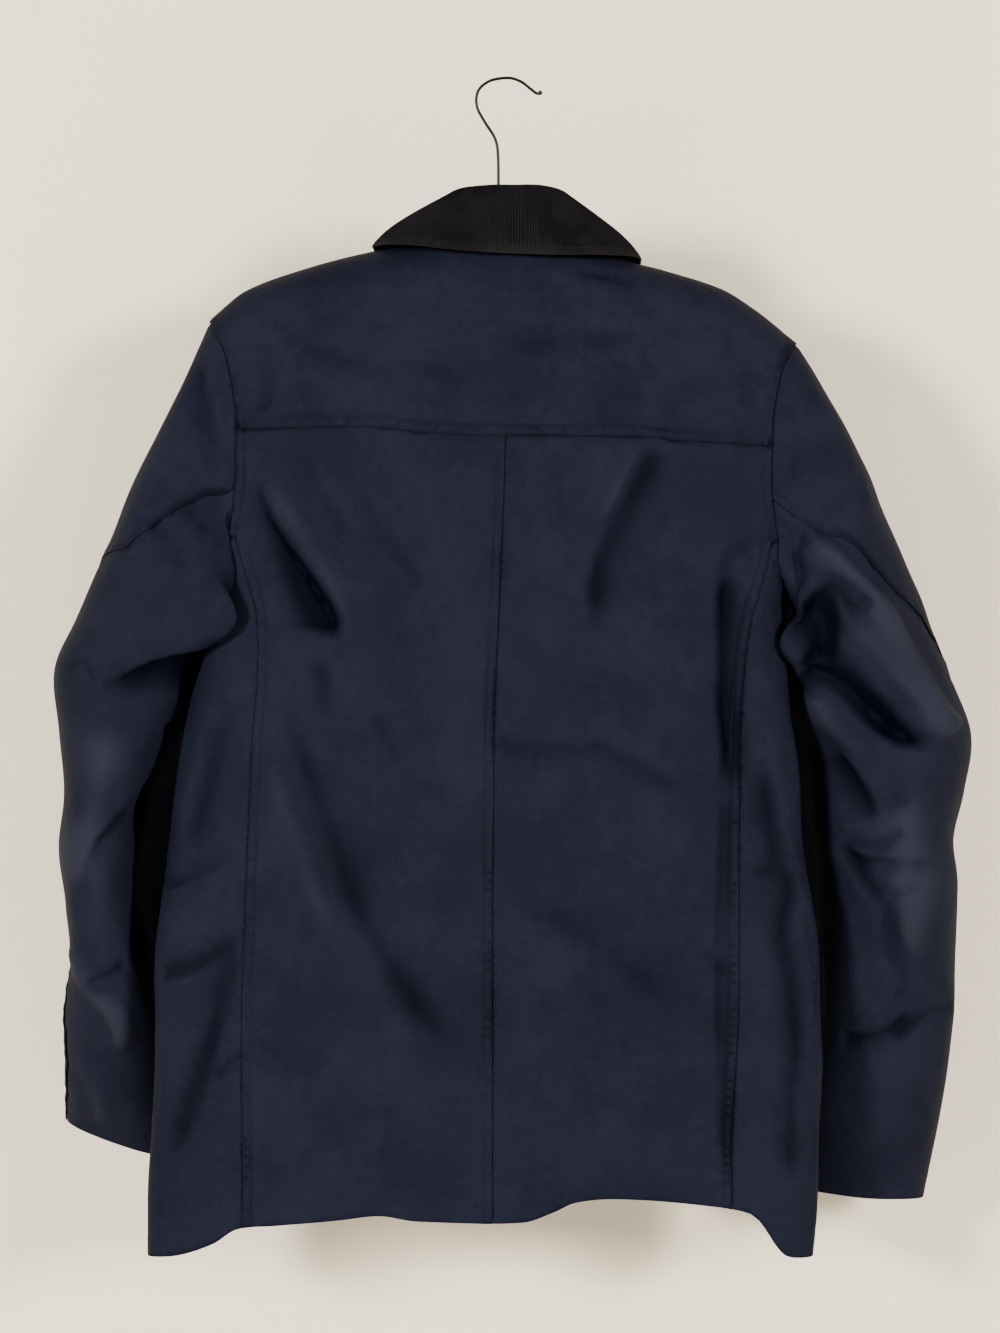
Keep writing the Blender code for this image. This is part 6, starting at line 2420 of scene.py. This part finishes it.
@dataclass(frozen=True)
class Plaster:
    """Matt pale paint for the wall and floor, open from behind."""

    name: str
    colour: tuple[float, float, float]

    def make(self) -> Material:
        """Build the material.

        Returns:
            The material.
        """
        shade = Shading(self.name)
        patches = shade.noise(1.3, 2.0)
        shadow = tuple(0.97 * part for part in self.colour)
        paint = shade.node("ShaderNodeBsdfDiffuse", {
            "Color": shade.colour(shadow, self.colour, patches)})
        clear = shade.node("ShaderNodeBsdfTransparent")
        behind = shade.node("ShaderNodeNewGeometry").outputs["Backfacing"]
        both = shade.node("ShaderNodeMixShader", {
            "Fac": behind, 1: paint.outputs[0], 2: clear.outputs[0]})
        shade.node("ShaderNodeOutputMaterial", {"Surface": both.outputs[0]})
        return shade.material


# ---------------------------------------------------------------- studio
WARM = (1.0, 0.955, 0.87)


@dataclass
class Lamp:
    """One soft lamp of the studio."""

    name: str
    place: tuple[float, float, float]
    aim: tuple[float, float, float]
    size: float
    power: float
    colour: tuple[float, float, float] = (1.0, 0.98, 0.95)


@dataclass
class Studio:
    """Pale wall and floor, soft lamps and the camera."""

    wall_y: float = 0.168
    floor_z: float = -1.35
    camera_place: tuple[float, float, float] = (-0.006, -2.4, -0.458)
    frame_height: float = 1.04
    world: tuple[float, float, float] = (0.93, 0.93, 0.95)
    world_strength: float = 0.10
    lamps: tuple[Lamp, ...] = (
        Lamp("key_left", (-2.3, -3.0, 0.1), (0.0, 0.0, -0.5), 0.8, 226.0, WARM),
        Lamp("key_right", (2.3, -3.0, 0.1), (0.0, 0.0, -0.5), 0.8, 195.0, WARM),
        Lamp("fill_front", (0.3, 2.3, 0.6), (0.0, 0.0, -0.45), 1.4, 190.0),
    )

    def _plane(self, name: str, corners: Sequence[tuple[float, float, float]],
               material: Material) -> None:
        """A flat backdrop that isn't part of the jacket.

        Args:
            name: Its name.
            corners: Its corners in metres.
            material: Its material.
        """
        mesh = bpy.data.meshes.new(name)
        mesh.from_pydata(corners, [], [(0, 1, 2, 3)])
        mesh.materials.append(material)
        placed(name, mesh)

    def _light(self, lamp: Lamp) -> None:
        """Hang one lamp.

        Args:
            lamp: The lamp.
        """
        data = bpy.data.lights.new(lamp.name, "AREA")
        data.shape, data.size, data.energy = "DISK", lamp.size, lamp.power
        data.color = lamp.colour
        light = placed(lamp.name, data)
        light.location = lamp.place
        toward = np.array(lamp.aim) - np.array(lamp.place)
        light.rotation_euler = (math.acos(-toward[2] / np.linalg.norm(toward)), 0.0,
                                math.atan2(toward[1], toward[0]) - math.pi / 2)

    def build(self) -> None:
        """Set up wall, floor, lamps, world and camera."""
        wall = Plaster("wall_paint", (0.93, 0.85, 0.69)).make()
        floor = Plaster("floor_paint", (0.84, 0.815, 0.775)).make()
        y, z = self.wall_y, self.floor_z
        self._plane("wall", [(-3, y, z), (3, y, z), (3, y, 1.6), (-3, y, 1.6)], wall)
        self._plane("floor", [(-3, -3, z), (3, -3, z), (3, y, z), (-3, y, z)], floor)
        for lamp in self.lamps:
            self._light(lamp)
        world = bpy.data.worlds.new("studio")
        world.use_nodes = True
        background = world.node_tree.nodes["Background"]
        background.inputs["Color"].default_value = (*self.world, 1.0)
        background.inputs["Strength"].default_value = self.world_strength
        bpy.context.scene.world = world
        data = bpy.data.cameras.new("camera")
        data.sensor_width = 36.0
        data.lens = 36.0 * abs(self.camera_place[1]) / self.frame_height
        camera = placed("camera", data)
        camera.location = self.camera_place
        camera.rotation_euler = (math.pi / 2, 0.0, 0.0)
        bpy.context.scene.camera = camera


# ---------------------------------------------------------------- the whole
class Jacket:
    """The dressed jacket, built piece by piece."""

    def __init__(self, frame: dict) -> None:
        """Make the finishes and the stitching tree.

        Args:
            frame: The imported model's frame.
        """
        self.frame = frame
        self.cotton = WaxedCotton().make()
        self.corduroy = Corduroy().make()
        self.thread = Thread().make()
        self.wire = Metal("hook_chrome", (0.02, 0.018, 0.016), 0.3, 0.00002).make()
        self.stud_metal = Metal("stud_metal", (0.23, 0.22, 0.20), 0.34, 0.00004).make()
        self.wood = DarkWood().make()
        self.sewing = StitchTree()

    def _settle(self, piece: Object, slot: str, *nodes: str) -> None:
        """Put a piece in the frame, in place of its CAD nodes.

        Args:
            piece: The piece.
            slot: Its slot's name; not used.
            nodes: The nodes it replaces.
        """
        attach(piece, "root")
        if nodes:
            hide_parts(*nodes)

    def _stitches(self, name: str, lines: list[Array], slot: str) -> list[Object]:
        """The stitching of one piece, as a list of none or one piece.

        Args:
            name: The piece's name.
            lines: The lines.
            slot: The slot's name.

        Returns:
            The stitching.
        """
        if not lines:
            return []
        made = self.sewing.sew(f"stitches_{name}", lines, self.thread)
        self._settle(made, slot)
        return [made]

    def _dress(self, cloth: ClothPiece | Collar, name: str, slot: str, piece: Object,
               lines: list[Array]) -> None:
        """Settle a piece of cloth with its stitching, and state its cut.

        Args:
            cloth: What knows the size of the cut.
            name: The CAD node that the piece stands for.
            slot: Its material slot.
            piece: The piece.
            lines: Its rows of stitching.
        """
        self._settle(piece, slot, name)
        sewn = self._stitches(name, lines, slot)
        width, length, area = cloth.flat_size()
        LOG.info("%s: cut %.0f x %.0f mm, %d faces", name, width / MM, length / MM,
                 len(piece.data.polygons))

    def add_cloth(self, cloth: ClothPiece) -> None:
        """Make one piece of waxed cotton with its stitching."""
        piece = cloth.make(self.cotton)
        self._dress(cloth, cloth.name, "waxed_cotton", piece, cloth.stitch_lines())

    def add_collar(self, collar: Collar) -> None:
        """Make the collar's stand, and its fall with the topstitching.

        Args:
            collar: The collar.
        """
        stand = collar.make_stand(self.corduroy)
        self._dress(collar, "collar_stand", "corduroy", stand, [])
        fall = collar.make_fall(self.corduroy)
        self._dress(collar, "collar_fall", "corduroy", fall, collar.stitch_lines())

    def build(self) -> None:
        """Build every piece in order."""
        trunk = Trunk()
        for cloth in trunk.pieces():
            self.add_cloth(cloth)
        for side in Side:
            for cloth in Sleeve(side, trunk.armholes[side], SLEEVES[side]).pieces():
                self.add_cloth(cloth)
        self.add_collar(Collar(trunk))
        closure = Closure(trunk)
        self.add_cloth(closure.placket())
        for number, stud in enumerate(closure.studs(self.stud_metal), start=1):
            self._settle(stud, "dull_metal", f"press_stud_{number}")
        LOG.info("%d press studs", len(closure.stud_heights))
        for cloth in Pockets(trunk).pieces():
            self.add_cloth(cloth)
        self._settle(Hanger().hook(self.wire), "chromed_wire", "hanger_hook")
        bar = self.frame["nodes"]["hanger_bar"]
        bar.data.materials.clear()
        bar.data.materials.append(self.wood)
        LOG.info("hanger hook and bar")


def main() -> None:
    """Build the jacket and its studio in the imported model's frame."""
    logging.basicConfig(level=logging.INFO, format="%(name)s: %(message)s")
    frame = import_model()
    Jacket(frame).build()
    Studio().build()


if __name__ == "__main__":
    main()
